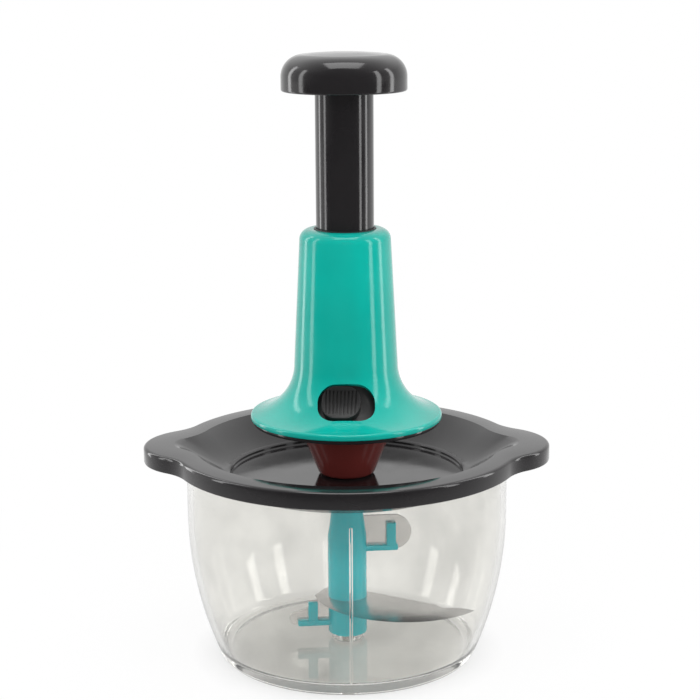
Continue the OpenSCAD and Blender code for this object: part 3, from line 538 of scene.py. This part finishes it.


# Surface, colour, roughness, bump and other values of each finish. The post's teal is painted light: a paler copy
# of the tower's teal, standing in for the light that reaches the post through the bowl
FINISHES = {
    "clear_plastic": (
        moulding_marks, "clear", 0.004, 0.02, dict(marks=0.08, IOR=1.49, Transmission_Weight=1.0)
    ),
    "teal_plastic": (moulding_marks, "teal", 0.13, 0.04, dict(worn=(0.10, 0.55, 0.48), wear=0.35, IOR=1.42)),
    "post_teal_painted_lighter": (moulding_marks, "post", 0.13, 0.04, dict(worn=(0.15, 0.62, 0.60), wear=0.35, IOR=1.5)),
    "black_plastic": (moulding_marks, "black", 0.11, 0.03, dict(worn=(0.06, 0.06, 0.06), wear=0.4, IOR=1.5)),
    "black_matte": (moulding_marks, "satin", 0.36, 0.25, dict(worn=(0.05, 0.05, 0.05), wear=0.4, IOR=1.35)),
    "dark_red_plastic": (moulding_marks, "red", 0.12, 0.10, dict(worn=(0.32, 0.06, 0.05), wear=0.4, IOR=1.5)),
    "steel": (ground_lines, "steel", 0.24, 0.004, dict(marks=0.15, Metallic=1.0)),
    "zinc": (ground_lines, "zinc", 0.34, 0.08, dict(Metallic=1.0)),
    "brass": (ground_lines, "brass", 0.28, 0.08, dict(Metallic=1.0)),
    "nylon": (moulding_marks, "nylon", 0.42, 0.25, dict(worn=(0.86, 0.83, 0.75), wear=0.4)),
    "silicone": (moulding_marks, "silicone", 0.55, 0.30, dict(worn=(0.55, 0.55, 0.54), wear=0.3)),
}


def material(slot):
    """The material of a finish, made when it is first used"""
    name = slot + "_finish"
    made = bpy.data.materials.get(name)
    if made:
        return made
    maker, tone, roughness, bump, values = FINISHES[slot]
    colour = getattr(bpy.context.scene.chopper_colours, tone)
    made = finish(name, maker, colour, roughness, bump, **values)
    if slot == "clear_plastic":
        let_lamps_through(made, colour)
        matte_foot(made)
    return made


class CHOPPER_OT_stage(bpy.types.Operator):
    """Make the floor, the studio light and the camera"""

    bl_idname = "chopper.stage"
    bl_label = "Studio"

    # Angle round the object, height of the lower edge and power of the upright softboxes
    softboxes = {
        "left_front": (-82, 0.050, 0.38), "left_back": (-113, 0.024, 0.39),
        "right_front": (64, 0.065, 0.41), "right_back": (94, 0.043, 0.42),
    }
    softbox_top = 0.535
    softbox_width = 0.063
    softbox_distance = 0.40

    def execute(self, context):
        scene = context.scene
        scene.view_settings.view_transform = "Standard"
        self.make_floor()
        self.make_world(scene)
        self.make_lamps(scene)
        self.make_camera(scene)
        return {"FINISHED"}

    def seen(self, tree, path):
        """One for rays that show the background: from the camera and through glass"""
        return joined(tree, "MAXIMUM", path["Is Camera Ray"], path["Is Transmission Ray"])

    def reflected(self, tree, space, start, end):
        """Brightness of what gloss shows: dim in front of the object and white behind it"""
        depth = coordinate(tree, space, "Y")
        return spread(tree, depth, 0.08, 1.0, start, end, interpolation_type="SMOOTHSTEP")

    def make_floor(self):
        """A paper floor that looks white, with the object's shadow on it and painted shade: by distance from the
        axis, more lit paper and less white glow shows under and round the bowl
        """
        bm = bmesh.new()
        bmesh.ops.create_grid(bm, x_segments=1, y_segments=1, size=4)
        floor = new_object(bm, "studio_floor")
        pale = bpy.data.materials.new("studio_paper")
        floor.data.materials.append(pale)
        pale.use_nodes = True
        tree = pale.node_tree
        paper = tree.nodes["Principled BSDF"]
        paper.inputs["Base Color"].default_value = (0.86, 0.86, 0.86, 1)
        paper.inputs["Roughness"].default_value = 0.6
        paper.inputs["Specular IOR Level"].default_value = 0.2
        path = add(tree, "ShaderNodeLightPath").outputs
        gloss = joined(tree, "SUBTRACT", path["Is Glossy Ray"], path["Is Transmission Ray"])
        dim = joined(tree, "SUBTRACT", 1.0, self.reflected(tree, "Object", -0.55, 0.3))
        level = joined(tree, "SUBTRACT", 1.0, joined(tree, "MULTIPLY", gloss, dim))
        glow = add(tree, "ShaderNodeEmission", {"Color": WHITE, "Strength": level})
        place = {"Vector": coordinate(tree, "Object")}
        far = add(tree, "ShaderNodeVectorMath", place, operation="LENGTH").outputs["Value"]
        # Painted shade by distance from the axis: the floor shows less white glow and more of the lit paper under
        # the bowl and in a ring round it, partly the real shadow and partly darker by place alone
        under = spread(tree, far, 0.45, 1.0, 0.050, 0.075)
        around = spread(tree, far, 0.93, 1.0, 0.075, 0.30)
        share = joined(tree, "MULTIPLY", self.seen(tree, path), joined(tree, "MULTIPLY", under, around))
        blend(tree, joined(tree, "MAXIMUM", share, gloss), paper, glow, "Material Output")

    def make_world(self, scene):
        """A soft white room, which gloss shows brighter overhead"""
        world = bpy.data.worlds.new("studio_room")
        scene.world = world
        world.use_nodes = True
        tree = world.node_tree
        room = tree.nodes["Background"]
        room.inputs["Color"].default_value = WHITE
        room.inputs["Strength"].default_value = 0.55
        path = add(tree, "ShaderNodeLightPath").outputs
        seen = self.seen(tree, path)
        overhead = spread(tree, coordinate(tree, "Generated", "Z"), 1.0, 1.65, 0.35, 0.65)
        shown = joined(tree, "MULTIPLY", self.reflected(tree, "Generated", -0.9, 0.75), overhead)
        hidden = joined(tree, "SUBTRACT", 1.0, seen)
        level = joined(tree, "ADD", joined(tree, "MULTIPLY", shown, hidden), seen)
        backdrop = add(tree, "ShaderNodeBackground", {"Color": WHITE, "Strength": level})
        blend(tree, joined(tree, "MAXIMUM", seen, path["Is Glossy Ray"]), room, backdrop, "World Output")

    def make_lamp(self, scene, name, place, target, width, height, power, glossy=True):
        """A rectangular lamp that looks at a target"""
        light = bpy.data.lights.new(name, "AREA")
        light.shape = "RECTANGLE"
        light.size = width
        light.size_y = height
        light.energy = power
        lamp = bpy.data.objects.new(name, light)
        lamp.location = place
        lamp.rotation_euler = (Vector(target) - Vector(place)).to_track_quat("-Z", "Y").to_euler()
        lamp.visible_camera = False
        lamp.visible_glossy = glossy
        scene.collection.objects.link(lamp)

    def make_lamps(self, scene):
        """Upright softboxes at the sides, a light overhead and a fill that gloss doesn't show"""
        for name, (azimuth, low, power) in self.softboxes.items():
            a = math.radians(azimuth)
            level = (low + self.softbox_top) / 2
            place = (self.softbox_distance * math.sin(a), -self.softbox_distance * math.cos(a), level)
            tall = self.softbox_top - low
            self.make_lamp(scene, "softbox_" + name, place, (0, 0, level), self.softbox_width, tall, power)
        self.make_lamp(scene, "top_light", (0.0, -0.25, 1.35), (0, 0, 0.1), 0.9, 0.7, 7.0)
        self.make_lamp(scene, "front_fill", (0.15, -1.5, 0.7), (0, 0, 0.17), 0.9, 0.9, 6.0, glossy=False)

    def make_camera(self, scene):
        """A camera at the height and distance of the picture's"""
        place = Vector((0, -0.80645, 0.32587))
        target = Vector((0, 0, 0.14618))
        back = (place - target).normalized()
        right = Vector((1, 0, 0))
        sight = Matrix((right, back.cross(right), back)).transposed()
        sideways = Matrix.Rotation(math.radians(-0.132), 3, "Y")
        roll = Matrix.Rotation(math.radians(-0.40), 3, "Z")
        data = bpy.data.cameras.new("camera")
        data.sensor_fit = "HORIZONTAL"
        data.sensor_width = 36
        data.lens = 91.69
        camera = bpy.data.objects.new("camera", data)
        camera.matrix_world = Matrix.Translation(place) @ (sight @ sideways @ roll).to_4x4()
        scene.collection.objects.link(camera)
        scene.camera = camera


class CHOPPER_OT_bowl(bpy.types.Operator):
    """Make the clear bowl"""

    bl_idname = "chopper.bowl"
    bl_label = "Bowl"

    def execute(self, context):
        s = sizes()
        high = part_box("bowl")[1]
        rim = high.x
        belly_z = high.z - s.bowl_band
        middle = rim - s.belly

        def corner(floor, heel, wall):
            """Place of a heel's centre and the angle at which the heel meets the belly"""
            reach = s.belly - wall - heel
            fall = belly_z - floor - heel
            return middle + math.sqrt(reach * reach - fall * fall), math.asin(fall / reach)

        outer, fall_out = corner(0, s.heel, 0)
        inner, fall_in = corner(s.bowl_floor, s.inner_heel, s.bowl_wall)
        hollow = 0.0003
        hollow_edge = outer - 0.0014
        foot_edge = outer - 0.0006
        beside = 0.003
        rim_in = rim - s.bowl_wall
        rim_round = 0.0009
        boss_top = s.bowl_floor + s.boss_rise
        hole = s.pin_radius + SEATED
        hole_end = s.bowl_floor - s.pin_sink
        line = Outline(0, hollow)
        line.line((hollow_edge - beside, hollow), (hollow_edge, hollow), (foot_edge, 0), (outer, 0))
        line.arc(outer, s.heel, math.pi / 2 - fall_out).arc(middle, belly_z, fall_out, 40)
        line.line((rim, high.z - beside), (rim, high.z, rim_round), (rim_in, high.z, rim_round))
        line.line((rim_in, high.z - beside), (rim_in, belly_z)).arc(middle, belly_z, -fall_in, 40)
        line.arc(inner, s.bowl_floor + s.inner_heel, fall_in - math.pi / 2)
        line.line((s.boss_radius + beside, s.bowl_floor), (s.boss_radius, s.bowl_floor, 0.0008))
        line.line((s.boss_radius, boss_top, 0.0006), (hole, boss_top), (hole, hole_end), (0, hole_end))
        made = piece(line.turned(192), "clear_bowl", "bowl_unit", "bowl")
        combine(made, self.seam(s, rim, belly_z), "UNION")
        return {"FINISHED"}

    def seam(self, s, rim, belly_z):
        """A slim upright bead that follows the bowl's side, half sunk in it"""
        bm = bmesh.new()
        bmesh.ops.create_circle(bm, segments=16, radius=s.seam_width / 2, cap_ends=True)
        move(bm, (rim - s.seam_width / 4, 0, s.seam_top))
        band = bmesh.ops.extrude_face_region(bm, geom=bm.faces[:])["geom"]
        move(bm, (0, 0, belly_z - s.seam_top), picked(band))
        end = picked(band, bmesh.types.BMFace)
        bmesh.ops.spin(
            bm, geom=end, cent=(rim - s.belly, 0, belly_z), axis=(0, 1, 0), angle=s.seam_fall, steps=32
        )
        bmesh.ops.delete(bm, geom=end, context="FACES_ONLY")
        face_outwards(bm)
        soften_edges(bm, s.seam_width / 4, 60, 3)
        swing(bm, s.seam_place)
        return bm


class CHOPPER_OT_blades(bpy.types.Operator):
    """Make the post with its brackets, and the three blades"""

    bl_idname = "chopper.blades"
    bl_label = "Blade post"

    upper_angle = math.radians(5)
    lower_angle = math.radians(185)

    def execute(self, context):
        self.make_post(sizes())
        for name in ("upper", "middle", "lower"):
            node = name + "_blade"
            piece(cad_copy(node, 0.0001), name + "_chopping_blade", "blade_unit", node, sharp=20)
        return {"FINISHED"}

    def make_post(self, s):
        """The turned post with its hexagonal socket and its two brackets"""
        low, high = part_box("blade_post")
        bush = s.pin_radius + s.bush_wall + SEATED
        bush_top = low.z + 0.013
        bore = s.pin_radius + RUNNING
        bore_top = s.bowl_floor + 0.0315
        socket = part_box("drive_hub")[0].z - LOOSE
        narrow = (high.z + s.shoulder) / 2
        edge = 0.0006
        bend = 0.006
        line = Outline(bush, low.z)
        line.line((s.post_radius, low.z, edge), (s.post_radius, s.shoulder, bend))
        line.line((s.post_top_radius, narrow, bend), (s.post_top_radius, high.z, edge))
        line.line((0, high.z), (0, bore_top), (bore, bore_top), (bore, bush_top), (bush, bush_top)).close()
        # The post's finish is the tower's teal painted lighter, for the light that reaches it through the bowl
        post = piece(line.turned(96), "teal_post", "blade_unit", "blade_post", "post_teal_painted_lighter")
        hexagon = bmesh.new()
        radius = (s.hexagon / 2 + LOOSE) / math.cos(math.pi / 6)
        tall = 2 * (high.z - socket)
        bmesh.ops.create_cone(
            hexagon, cap_ends=True, segments=6, radius1=radius, radius2=radius, depth=tall,
            matrix=Matrix.Translation((0, 0, socket + tall / 2)) @ Matrix.Rotation(math.pi / 6, 4, "Z"),
        )
        combine(post, hexagon, "DIFFERENCE")
        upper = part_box("upper_blade")[0].z
        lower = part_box("lower_blade")[0].z
        self.add_bracket(post, s, upper, self.upper_angle, s.upper_peg_height, s.upper_peg, -1)
        self.add_bracket(post, s, lower, self.lower_angle, s.lower_peg_height, s.lower_peg, 1)

    def add_bracket(self, post, s, height, angle, peg_height, peg_reach, side):
        """A slotted arm out from the post with an upright peg on one side of the blade"""
        root = s.post_radius - 0.002
        half = s.bar + s.blade / 2
        top = height + s.bar
        bar = self.block(angle, (root, s.bar_reach), (-half, half), (height, top), 0.0007)
        combine(post, bar, "UNION")
        slot_start = s.post_radius + 0.0003
        slot_half = s.blade / 2 + 0.00001
        over = 0.001
        slot = self.block(
            angle, (slot_start, s.bar_reach + over), (-slot_half, slot_half), (height - over, top + over)
        )
        combine(post, slot, "DIFFERENCE")
        face = s.blade / 2 + SEATED
        across = sorted((side * face, side * (face + s.peg)))
        upright = (height + 0.0004, height + peg_height)
        peg = self.block(angle, (peg_reach, peg_reach + s.peg_width), across, upright, 0.0005)
        combine(post, peg, "UNION")

    def block(self, angle, along, across, upright, rounded=0.0):
        """A block between three pairs of places, turned about the axis"""
        bm = bmesh.new()
        bmesh.ops.create_cube(bm, size=1)
        spans = (along, across, upright)
        bmesh.ops.scale(bm, vec=[end - start for start, end in spans], verts=bm.verts[:])
        move(bm, [(start + end) / 2 for start, end in spans])
        if rounded:
            bevel(bm, bm.edges[:], rounded, 4)
        swing(bm, angle)
        return bm


class CHOPPER_OT_lid(bpy.types.Operator):
    """Make the dished lid with its two ears"""

    bl_idname = "chopper.lid"
    bl_label = "Lid"

    steps = 320

    def reach(self, s, angle, inset, ear_inset):
        """Distance from the axis to the lid's outline, moved inwards, in a direction"""
        big = s.lid_radius - inset
        small = s.ear_radius - ear_inset
        hollow = s.ear_hollow + inset
        ear = s.ear_reach - s.ear_radius
        x = (ear * ear + (big + hollow) ** 2 - (small + hollow) ** 2) / (2 * ear)
        y = math.sqrt((big + hollow) ** 2 - x * x)
        fold = math.atan2(abs(math.sin(angle)), abs(math.cos(angle)))
        share = small / (small + hollow)
        if fold >= math.atan2(y, x):
            return big
        if fold <= math.atan2(y * share, ear + (x - ear) * share):
            return ear * math.cos(fold) + math.sqrt(small * small - (ear * math.sin(fold)) ** 2)
        along = x * math.cos(fold) + y * math.sin(fold)
        across = x * math.sin(fold) - y * math.cos(fold)
        return along - math.sqrt(hollow * hollow - across * across)

    def loft(self, rings):
        """A closed skin over rings, each a height and a distance from the axis in every direction"""
        bm = bmesh.new()
        verts = bmesh.ops.create_circle(bm, segments=self.steps, radius=1)["verts"]
        first = edges = bm.edges[:]
        for index, (height, distance) in enumerate(rings):
            if index:
                verts = picked(bmesh.ops.extrude_edge_only(bm, edges=edges)["geom"])
                fresh = set(verts)
                edges = [edge for vert in verts for edge in vert.link_edges if fresh.issuperset(edge.verts)]
                edges = list(set(edges))
            for vert in verts:
                angle = math.atan2(vert.co.y, vert.co.x)
                far = distance(angle)
                vert.co = (far * math.cos(angle), far * math.sin(angle), height)
        bmesh.ops.bridge_loops(bm, edges=first + edges)
        face_outwards(bm)
        return bm

    def execute(self, context):
        s = sizes()
        low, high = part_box("lid")
        seal_low, seal_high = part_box("lid_seal")
        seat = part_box("bowl")[1].z + LOOSE
        edge = high.z - s.edge_height
        floor = high.z - s.dish_depth
        ledge = floor + s.ledge_rise

        def circle(height, radius):
            """A round ring"""
            return height, lambda angle: radius

        def outline(height, inset, ear_inset=None):
            """A ring along the lid's outline, moved inwards, by another width at the ears if it is given"""
            at_ear = inset if ear_inset is None else ear_inset
            return height, lambda angle: self.reach(s, angle, inset, at_ear)

        def slope(share):
            """A ring on the dish's side, between its lip and its ledge"""
            eased = share * share * (3 - 2 * share)
            lip = outline(0, s.border, s.ear_border)[1]
            return (
                high.z + (ledge - high.z) * (0.8 * share + 0.2 * eased),
                lambda angle: lip(angle) * (1 - share) + s.dish_radius * share,
            )

        r = s.edge_round
        plug = seat - s.plug_height
        inner = s.dish_radius - s.ledge_width
        slant = (s.plug_radius - 2 * s.seal_seat - inner) / (plug - low.z + 0.001)
        seal_seat = s.plug_radius - s.seal_seat
        near_dish = 0.0012
        soft = 0.0004
        chamfer = 0.0003
        bend = 0.0008
        brim = 0.0007
        cove = 0.0006
        rings = [
            circle(low.z, s.neck_radius), circle(low.z, inner - 0.0012),
            circle(low.z + 0.0002, inner - 0.0001), circle(low.z + bend, inner + bend * slant),
            circle(plug, inner + slant * (plug - low.z)), circle(plug, s.plug_radius - chamfer),
            circle(plug + chamfer, s.plug_radius), circle(seal_low.z, s.plug_radius),
            circle(seal_low.z, seal_seat), circle(seal_high.z, seal_seat),
            circle(seal_high.z, s.plug_radius), circle(seat, s.plug_radius), outline(seat, s.skirt),
            outline(edge + soft, s.skirt), outline(edge, s.skirt - soft), outline(edge, brim),
            outline(edge + 0.0002, 0.0002), outline(edge + brim, 0),
        ]
        for step in range(7):
            a = step * math.pi / 12
            rings.append(outline(high.z - r + r * math.sin(a), r - r * math.cos(a)))
        rings.append(outline(high.z, s.border - near_dish, s.ear_border - near_dish))
        rings += [slope(step / 10) for step in range(11)]
        rings += [
            circle(ledge, inner + soft), circle(ledge - soft, inner), circle(floor + cove, inner),
            circle(floor, inner - cove), circle(floor, 0.03), circle(floor, s.neck_radius),
        ]
        piece(self.loft(rings), "dished_lid", "lid_unit", "lid")
        return {"FINISHED"}


def flare_line(s):
    """Distance of the flare's centre from the axis, and its height"""
    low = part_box("tower_housing")[0].z
    return s.throat_radius + s.flare, low + s.lip_height + s.flare


def window_place(s):
    """Where the lock's window is, square to the flare"""
    centre, height = flare_line(s)
    y = -(centre - s.flare * math.cos(s.window_fall))
    z = height - s.flare * math.sin(s.window_fall)
    return Matrix.Translation((0, y, z)) @ Matrix.Rotation(math.pi / 2 - s.window_fall, 4, "X")


class CHOPPER_OT_tower(bpy.types.Operator):
    """Make the pedestal, the bell-shaped tower and the gland at its top"""

    bl_idname = "chopper.tower"
    bl_label = "Tower"

    def execute(self, context):
        s = sizes()
        self.make_pedestal(s)
        self.make_housing(s)
        self.make_gland(s)
        return {"FINISHED"}

    def make_gland(self, s):
        """The ring that the plunger runs in"""
        low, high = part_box("guide_bush")
        bore = s.plunger_radius + RUNNING
        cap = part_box("guide_tube")[1].z
        edge = 0.0003
        line = Outline(bore, low.z)
        line.line((high.x, low.z), (high.x, cap), (s.gland_radius, cap))
        line.line((s.gland_radius, high.z, edge), (bore, high.z, edge)).close()
        piece(line.turned(), "gland_ring", "lid_unit", "guide_bush")

    def make_pedestal(self, s):
        """The cone, with its neck through the lid and its rooms for the bearing and the hub"""
        low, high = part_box("pedestal")
        plate_low, plate_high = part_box("tower_base_plate")
        bearing_low, bearing_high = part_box("bearing_plate")
        hub_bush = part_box("hub_bush")[1]
        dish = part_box("lid")[1].z - s.dish_depth
        bush = hub_bush.x + SEATED
        cup = hub_bush.z
        room = bearing_high.x + SEATED
        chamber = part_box("drive_hub")[1].x + LOOSE
        neck = s.neck_radius - SEATED
        nut_room = 0.0162
        line = Outline(bush, low.z)
        line.line((neck, low.z, 0.0006), (neck, dish), (s.foot_radius, dish, s.foot_round))
        line.line((s.crown_radius, plate_low.z), (s.crown_radius, plate_high.z), (high.x, plate_high.z))
        line.line((high.x, high.z, 0.0004), (nut_room, high.z), (nut_room, plate_low.z))
        line.line((room, plate_low.z - 0.001), (room, bearing_low.z), (chamber, bearing_low.z))
        line.line((chamber, cup), (bush, cup)).close()
        piece(line.turned(), "red_pedestal", "lid_unit", "pedestal")

    def make_housing(self, s):
        """The hollow tower with the lock's window"""
        low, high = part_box("tower_housing")
        centre, flare_z = flare_line(s)
        lip = s.base_radius - s.lip_round
        lip_in = s.base_radius - s.lip_width
        fall = math.acos((centre - lip) / s.flare)
        fall_in = math.acos((centre - lip_in) / (s.flare + s.tower_wall))
        lip_z = flare_z - s.flare * math.sin(fall) - s.lip_round
        top_z = high.z - s.top_round
        cap_z = high.z - s.tower_cap
        gland = s.gland_radius + SEATED
        edge = 0.0004
        line = Outline(lip_in, low.z)
        line.line((s.base_radius, low.z, edge), (s.base_radius, lip_z))
        line.arc(lip, lip_z, math.pi / 2, 6).arc(centre, flare_z, -fall, 48)
        line.line((s.top_radius, top_z)).arc(s.top_radius - s.top_round, top_z, math.pi / 2, 12)
        line.line((gland, high.z, edge), (gland, cap_z), (s.top_radius - s.tower_wall, cap_z))
        line.line((s.throat_radius - s.tower_wall, flare_z)).arc(centre, flare_z, fall_in, 48).close()
        made = piece(line.turned(192), "teal_tower", "lid_unit", "tower_housing")
        cutter = slab(s.window_width, s.window_height, s.window_round, 16)
        thicken(cutter, 4 * s.slide_depth)
        move(cutter, (0, 0, 2 * s.slide_depth))
        cutter.transform(window_place(s))
        combine(made, cutter, "DIFFERENCE")


class CHOPPER_OT_lock(bpy.types.Operator):
    """Make the ribbed lock button and the slide plate behind it"""

    bl_idname = "chopper.lock"
    bl_label = "Lock"

    def execute(self, context):
        s = sizes()
        travel = math.radians(joint("lock_turn")["range_deg"][1])
        self.make_button(s, travel)
        self.make_slide(s, travel)
        return {"FINISHED"}

    def on_flare(self, s, bm, travel):
        """Bends a flat piece, drawn in the window's plane, onto the flare at the unlocked place"""
        centre, height = flare_line(s)
        for vert in bm.verts:
            x, y, proud = vert.co
            fall = s.window_fall - math.asin(y / s.flare)
            radius = centre - (s.flare - proud) * math.cos(fall)
            vert.co = (x, -math.sqrt(radius * radius - x * x), height - (s.flare - proud) * math.sin(fall))
        swing(bm, -travel / 2)
        face_outwards(bm)
        return bm

    def cut(self, bm, axis, places):
        """Cuts all faces at places along an axis"""
        for place in places:
            geom = bm.verts[:] + bm.edges[:] + bm.faces[:]
            bmesh.ops.bisect_plane(bm, geom=geom, plane_co=Vector(axis) * place, plane_no=axis)

    def make_button(self, s, travel):
        """The button, with grooves between its ribs"""
        corner = s.window_round - (s.window_height - s.button_height) / 2
        bm = slab(s.button_width, s.button_height, corner)
        count = int((s.button_width - 2 * s.rib_pitch) / s.rib_pitch / 2)
        half = 0.42 * s.rib_pitch / 2
        stripes = [i * s.rib_pitch for i in range(-count, count + 1)]
        end = s.button_height / 2 - 1.2 * s.rib_pitch
        self.cut(bm, (1, 0, 0), [place + side * half for place in stripes for side in (-1, 1)])
        self.cut(bm, (0, 1, 0), [end * step / 4 for step in range(-4, 5)])
        grooves = [
            face for face in bm.faces
            if abs(face.calc_center_median().y) < end
            and any(abs(face.calc_center_median().x - place) < half for place in stripes)
        ]
        sunk = picked(bmesh.ops.extrude_face_region(bm, geom=grooves)["geom"])
        bmesh.ops.delete(bm, geom=grooves, context="FACES")
        move(bm, (0, 0, -s.rib_depth), sunk)
        border = [edge for edge in bm.edges if edge.is_boundary]
        low = picked(bmesh.ops.extrude_edge_only(bm, edges=border)["geom"])
        move(bm, (0, 0, -s.slide_depth - s.button_proud + SEATED), low)
        bmesh.ops.holes_fill(bm, edges=[edge for edge in bm.edges if edge.is_boundary], sides=0)
        face_outwards(bm)
        soften_edges(bm, 0.00022, 50, 2)
        move(bm, (0, 0, s.button_proud))
        piece(self.on_flare(s, bm, travel), "ribbed_button", "lock_unit", "lock_button")

    def make_slide(self, s, travel):
        """The plain plate that fills the window at both ends of the travel"""
        radius = flare_line(s)[0] - s.flare * math.cos(s.window_fall)
        margin = 0.0008
        width = s.window_width + radius * math.sin(travel) + 2 * margin
        bm = slab(width, s.window_height + 2 * margin, s.window_round)
        pitch = 0.002
        self.cut(bm, (1, 0, 0), [pitch * step for step in range(-7, 8)])
        self.cut(bm, (0, 1, 0), [pitch * step for step in range(-4, 5)])
        thicken(bm, s.slide_thickness)
        soften_edges(bm, 0.0002, 50, 2)
        move(bm, (0, 0, -s.slide_depth))
        piece(self.on_flare(s, bm, travel), "slide_plate", "lock_unit", "lock_slide_plate")


class CHOPPER_OT_plunger(bpy.types.Operator):
    """Make the plunger and the palm knob"""

    bl_idname = "chopper.plunger"
    bl_label = "Plunger"

    screw_hole = 0.00152
    edge = 0.0003

    def execute(self, context):
        s = sizes()
        low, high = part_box("plunger_tube")
        bore = s.plunger_radius - s.plunger_wall
        web = high.z - 0.0025
        line = Outline(bore, low.z)
        line.line((s.plunger_radius, low.z, self.edge), (s.plunger_radius, high.z, self.edge))
        line.line((self.screw_hole, high.z), (self.screw_hole, web), (bore, web)).close()
        piece(line.turned(), "black_plunger", "plunger_unit", "plunger_tube")
        self.make_knob(s, high.z)
        low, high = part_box("knob_base")
        hole = s.plunger_radius + SEATED
        line = Outline(hole, low.z)
        line.line((high.x, low.z, self.edge), (high.x, high.z), (hole, high.z)).close()
        piece(line.turned(), "knob_floor", "plunger_unit", "knob_base")
        return {"FINISHED"}

    def make_knob(self, s, stem_z):
        """The hollow knob, with a stem that the screw goes into"""
        low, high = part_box("push_knob")
        half = s.knob_radius - s.knob_round
        shoulder = high.z - s.knob_crown - s.knob_round
        dome = (half * half + s.knob_crown ** 2) / (2 * s.knob_crown)
        lean = math.asin(half / dome)
        stem = 0.006
        hole_end = stem_z + 0.006
        roof = high.z - s.knob_crown - s.knob_wall
        line = Outline(self.screw_hole, stem_z)
        line.line((stem, stem_z, 0.0004), (stem, roof, 0.0008), (half, roof))
        line.arc(half, shoulder, -math.pi / 2, 12)
        inside = s.knob_radius - s.knob_wall
        line.line((inside, low.z), (s.knob_radius, low.z, 0.001), (s.knob_radius, shoulder))
        line.arc(half, shoulder, math.pi / 2, 20).arc(0, high.z - dome, lean, 16)
        line.line((0, hole_end), (self.screw_hole, hole_end)).close()
        for vert in line.bm.verts:
            if vert.co.x < 1e-6:
                vert.co.x = 0
        piece(line.turned(160), "palm_knob", "plunger_unit", "push_knob")


class CHOPPER_OT_spring(bpy.types.Operator):
    """Make the return spring"""

    bl_idname = "chopper.spring"
    bl_label = "Return spring"

    def execute(self, context):
        s = sizes()
        low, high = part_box("return_spring")
        wire = s.spring_wire / 2
        rise = high.z - low.z - s.spring_wire
        steps = 28 * s.spring_turns
        bm = bmesh.new()
        bmesh.ops.create_circle(bm, segments=10, radius=wire, cap_ends=True)
        swing(bm, math.pi / 2, "X")
        move(bm, (high.x - wire, 0, low.z + wire))
        bmesh.ops.spin(
            bm, geom=bm.faces[:], cent=(0, 0, 0), axis=(0, 0, 1), dvec=(0, 0, rise / steps),
            angle=math.tau * s.spring_turns, steps=steps,
        )
        face_outwards(bm)
        made = piece(bm, "coil_spring", "lid_unit", "return_spring")
        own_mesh(made)
        return {"FINISHED"}


class CHOPPER_OT_inner_parts(bpy.types.Operator):
    """Finish the solids that stay as they are, and soften the ones that show when the lid is off"""

    bl_idname = "chopper.inner_parts"
    bl_label = "Inner parts"

    softened = {
        "lid_seal": 0.0003, "lid_clamp_nut": 0.0003, "hub_bush": 0.00015, "drive_hub": 0.0002,
        "hub_clip": 0.0001, "tower_base_plate": 0.0002, "base_plate_screws": 0.0002, "bowl_pin": 0.0002,
        "post_bush": 0.0001,
    }

    def execute(self, context):
        bodies = frame["record"]["behaviour"]["bodies"]
        body = {node: name for name, nodes in bodies.items() for node in nodes}
        for node, width in self.softened.items():
            piece(cad_copy(node, width), node + "_soft", body[node], node)
        for node, solid in frame["nodes"].items():
            if solid.hide_render:
                continue
            solid.data.materials.clear()
            solid.data.materials.append(material(SLOTS[node]))
        return {"FINISHED"}


class CHOPPER_PT_panel(bpy.types.Panel):
    """Sidebar panel that lists the chopper's pieces, sizes and colours"""

    bl_idname = "CHOPPER_PT_panel"
    bl_label = "Food chopper"
    bl_space_type = "VIEW_3D"
    bl_region_type = "UI"
    bl_category = "Chopper"

    def draw(self, context):
        layout = self.layout
        for operator in OPERATORS:
            layout.operator(operator.bl_idname)
        for group in (context.scene.chopper_sizes, context.scene.chopper_colours):
            box = layout.box()
            for label in group.__annotations__:
                box.prop(group, label)


OPERATORS = (
    CHOPPER_OT_stage, CHOPPER_OT_bowl, CHOPPER_OT_blades, CHOPPER_OT_lid, CHOPPER_OT_tower, CHOPPER_OT_lock,
    CHOPPER_OT_plunger, CHOPPER_OT_spring, CHOPPER_OT_inner_parts,
)
CLASSES = (ChopperSizes, ChopperColours, *OPERATORS, CHOPPER_PT_panel)


def register():
    for item in CLASSES:
        bpy.utils.register_class(item)
    bpy.types.Scene.chopper_sizes = PointerProperty(type=ChopperSizes)
    bpy.types.Scene.chopper_colours = PointerProperty(type=ChopperColours)


def unregister():
    del bpy.types.Scene.chopper_colours
    del bpy.types.Scene.chopper_sizes
    for item in reversed(CLASSES):
        bpy.utils.unregister_class(item)


def main():
    """Builds every piece"""
    register()
    bpy.ops.chopper.stage()
    bpy.ops.chopper.bowl()
    bpy.ops.chopper.blades()
    bpy.ops.chopper.lid()
    bpy.ops.chopper.tower()
    bpy.ops.chopper.lock()
    bpy.ops.chopper.plunger()
    bpy.ops.chopper.spring()
    bpy.ops.chopper.inner_parts()


if __name__ == "__main__":
    main()
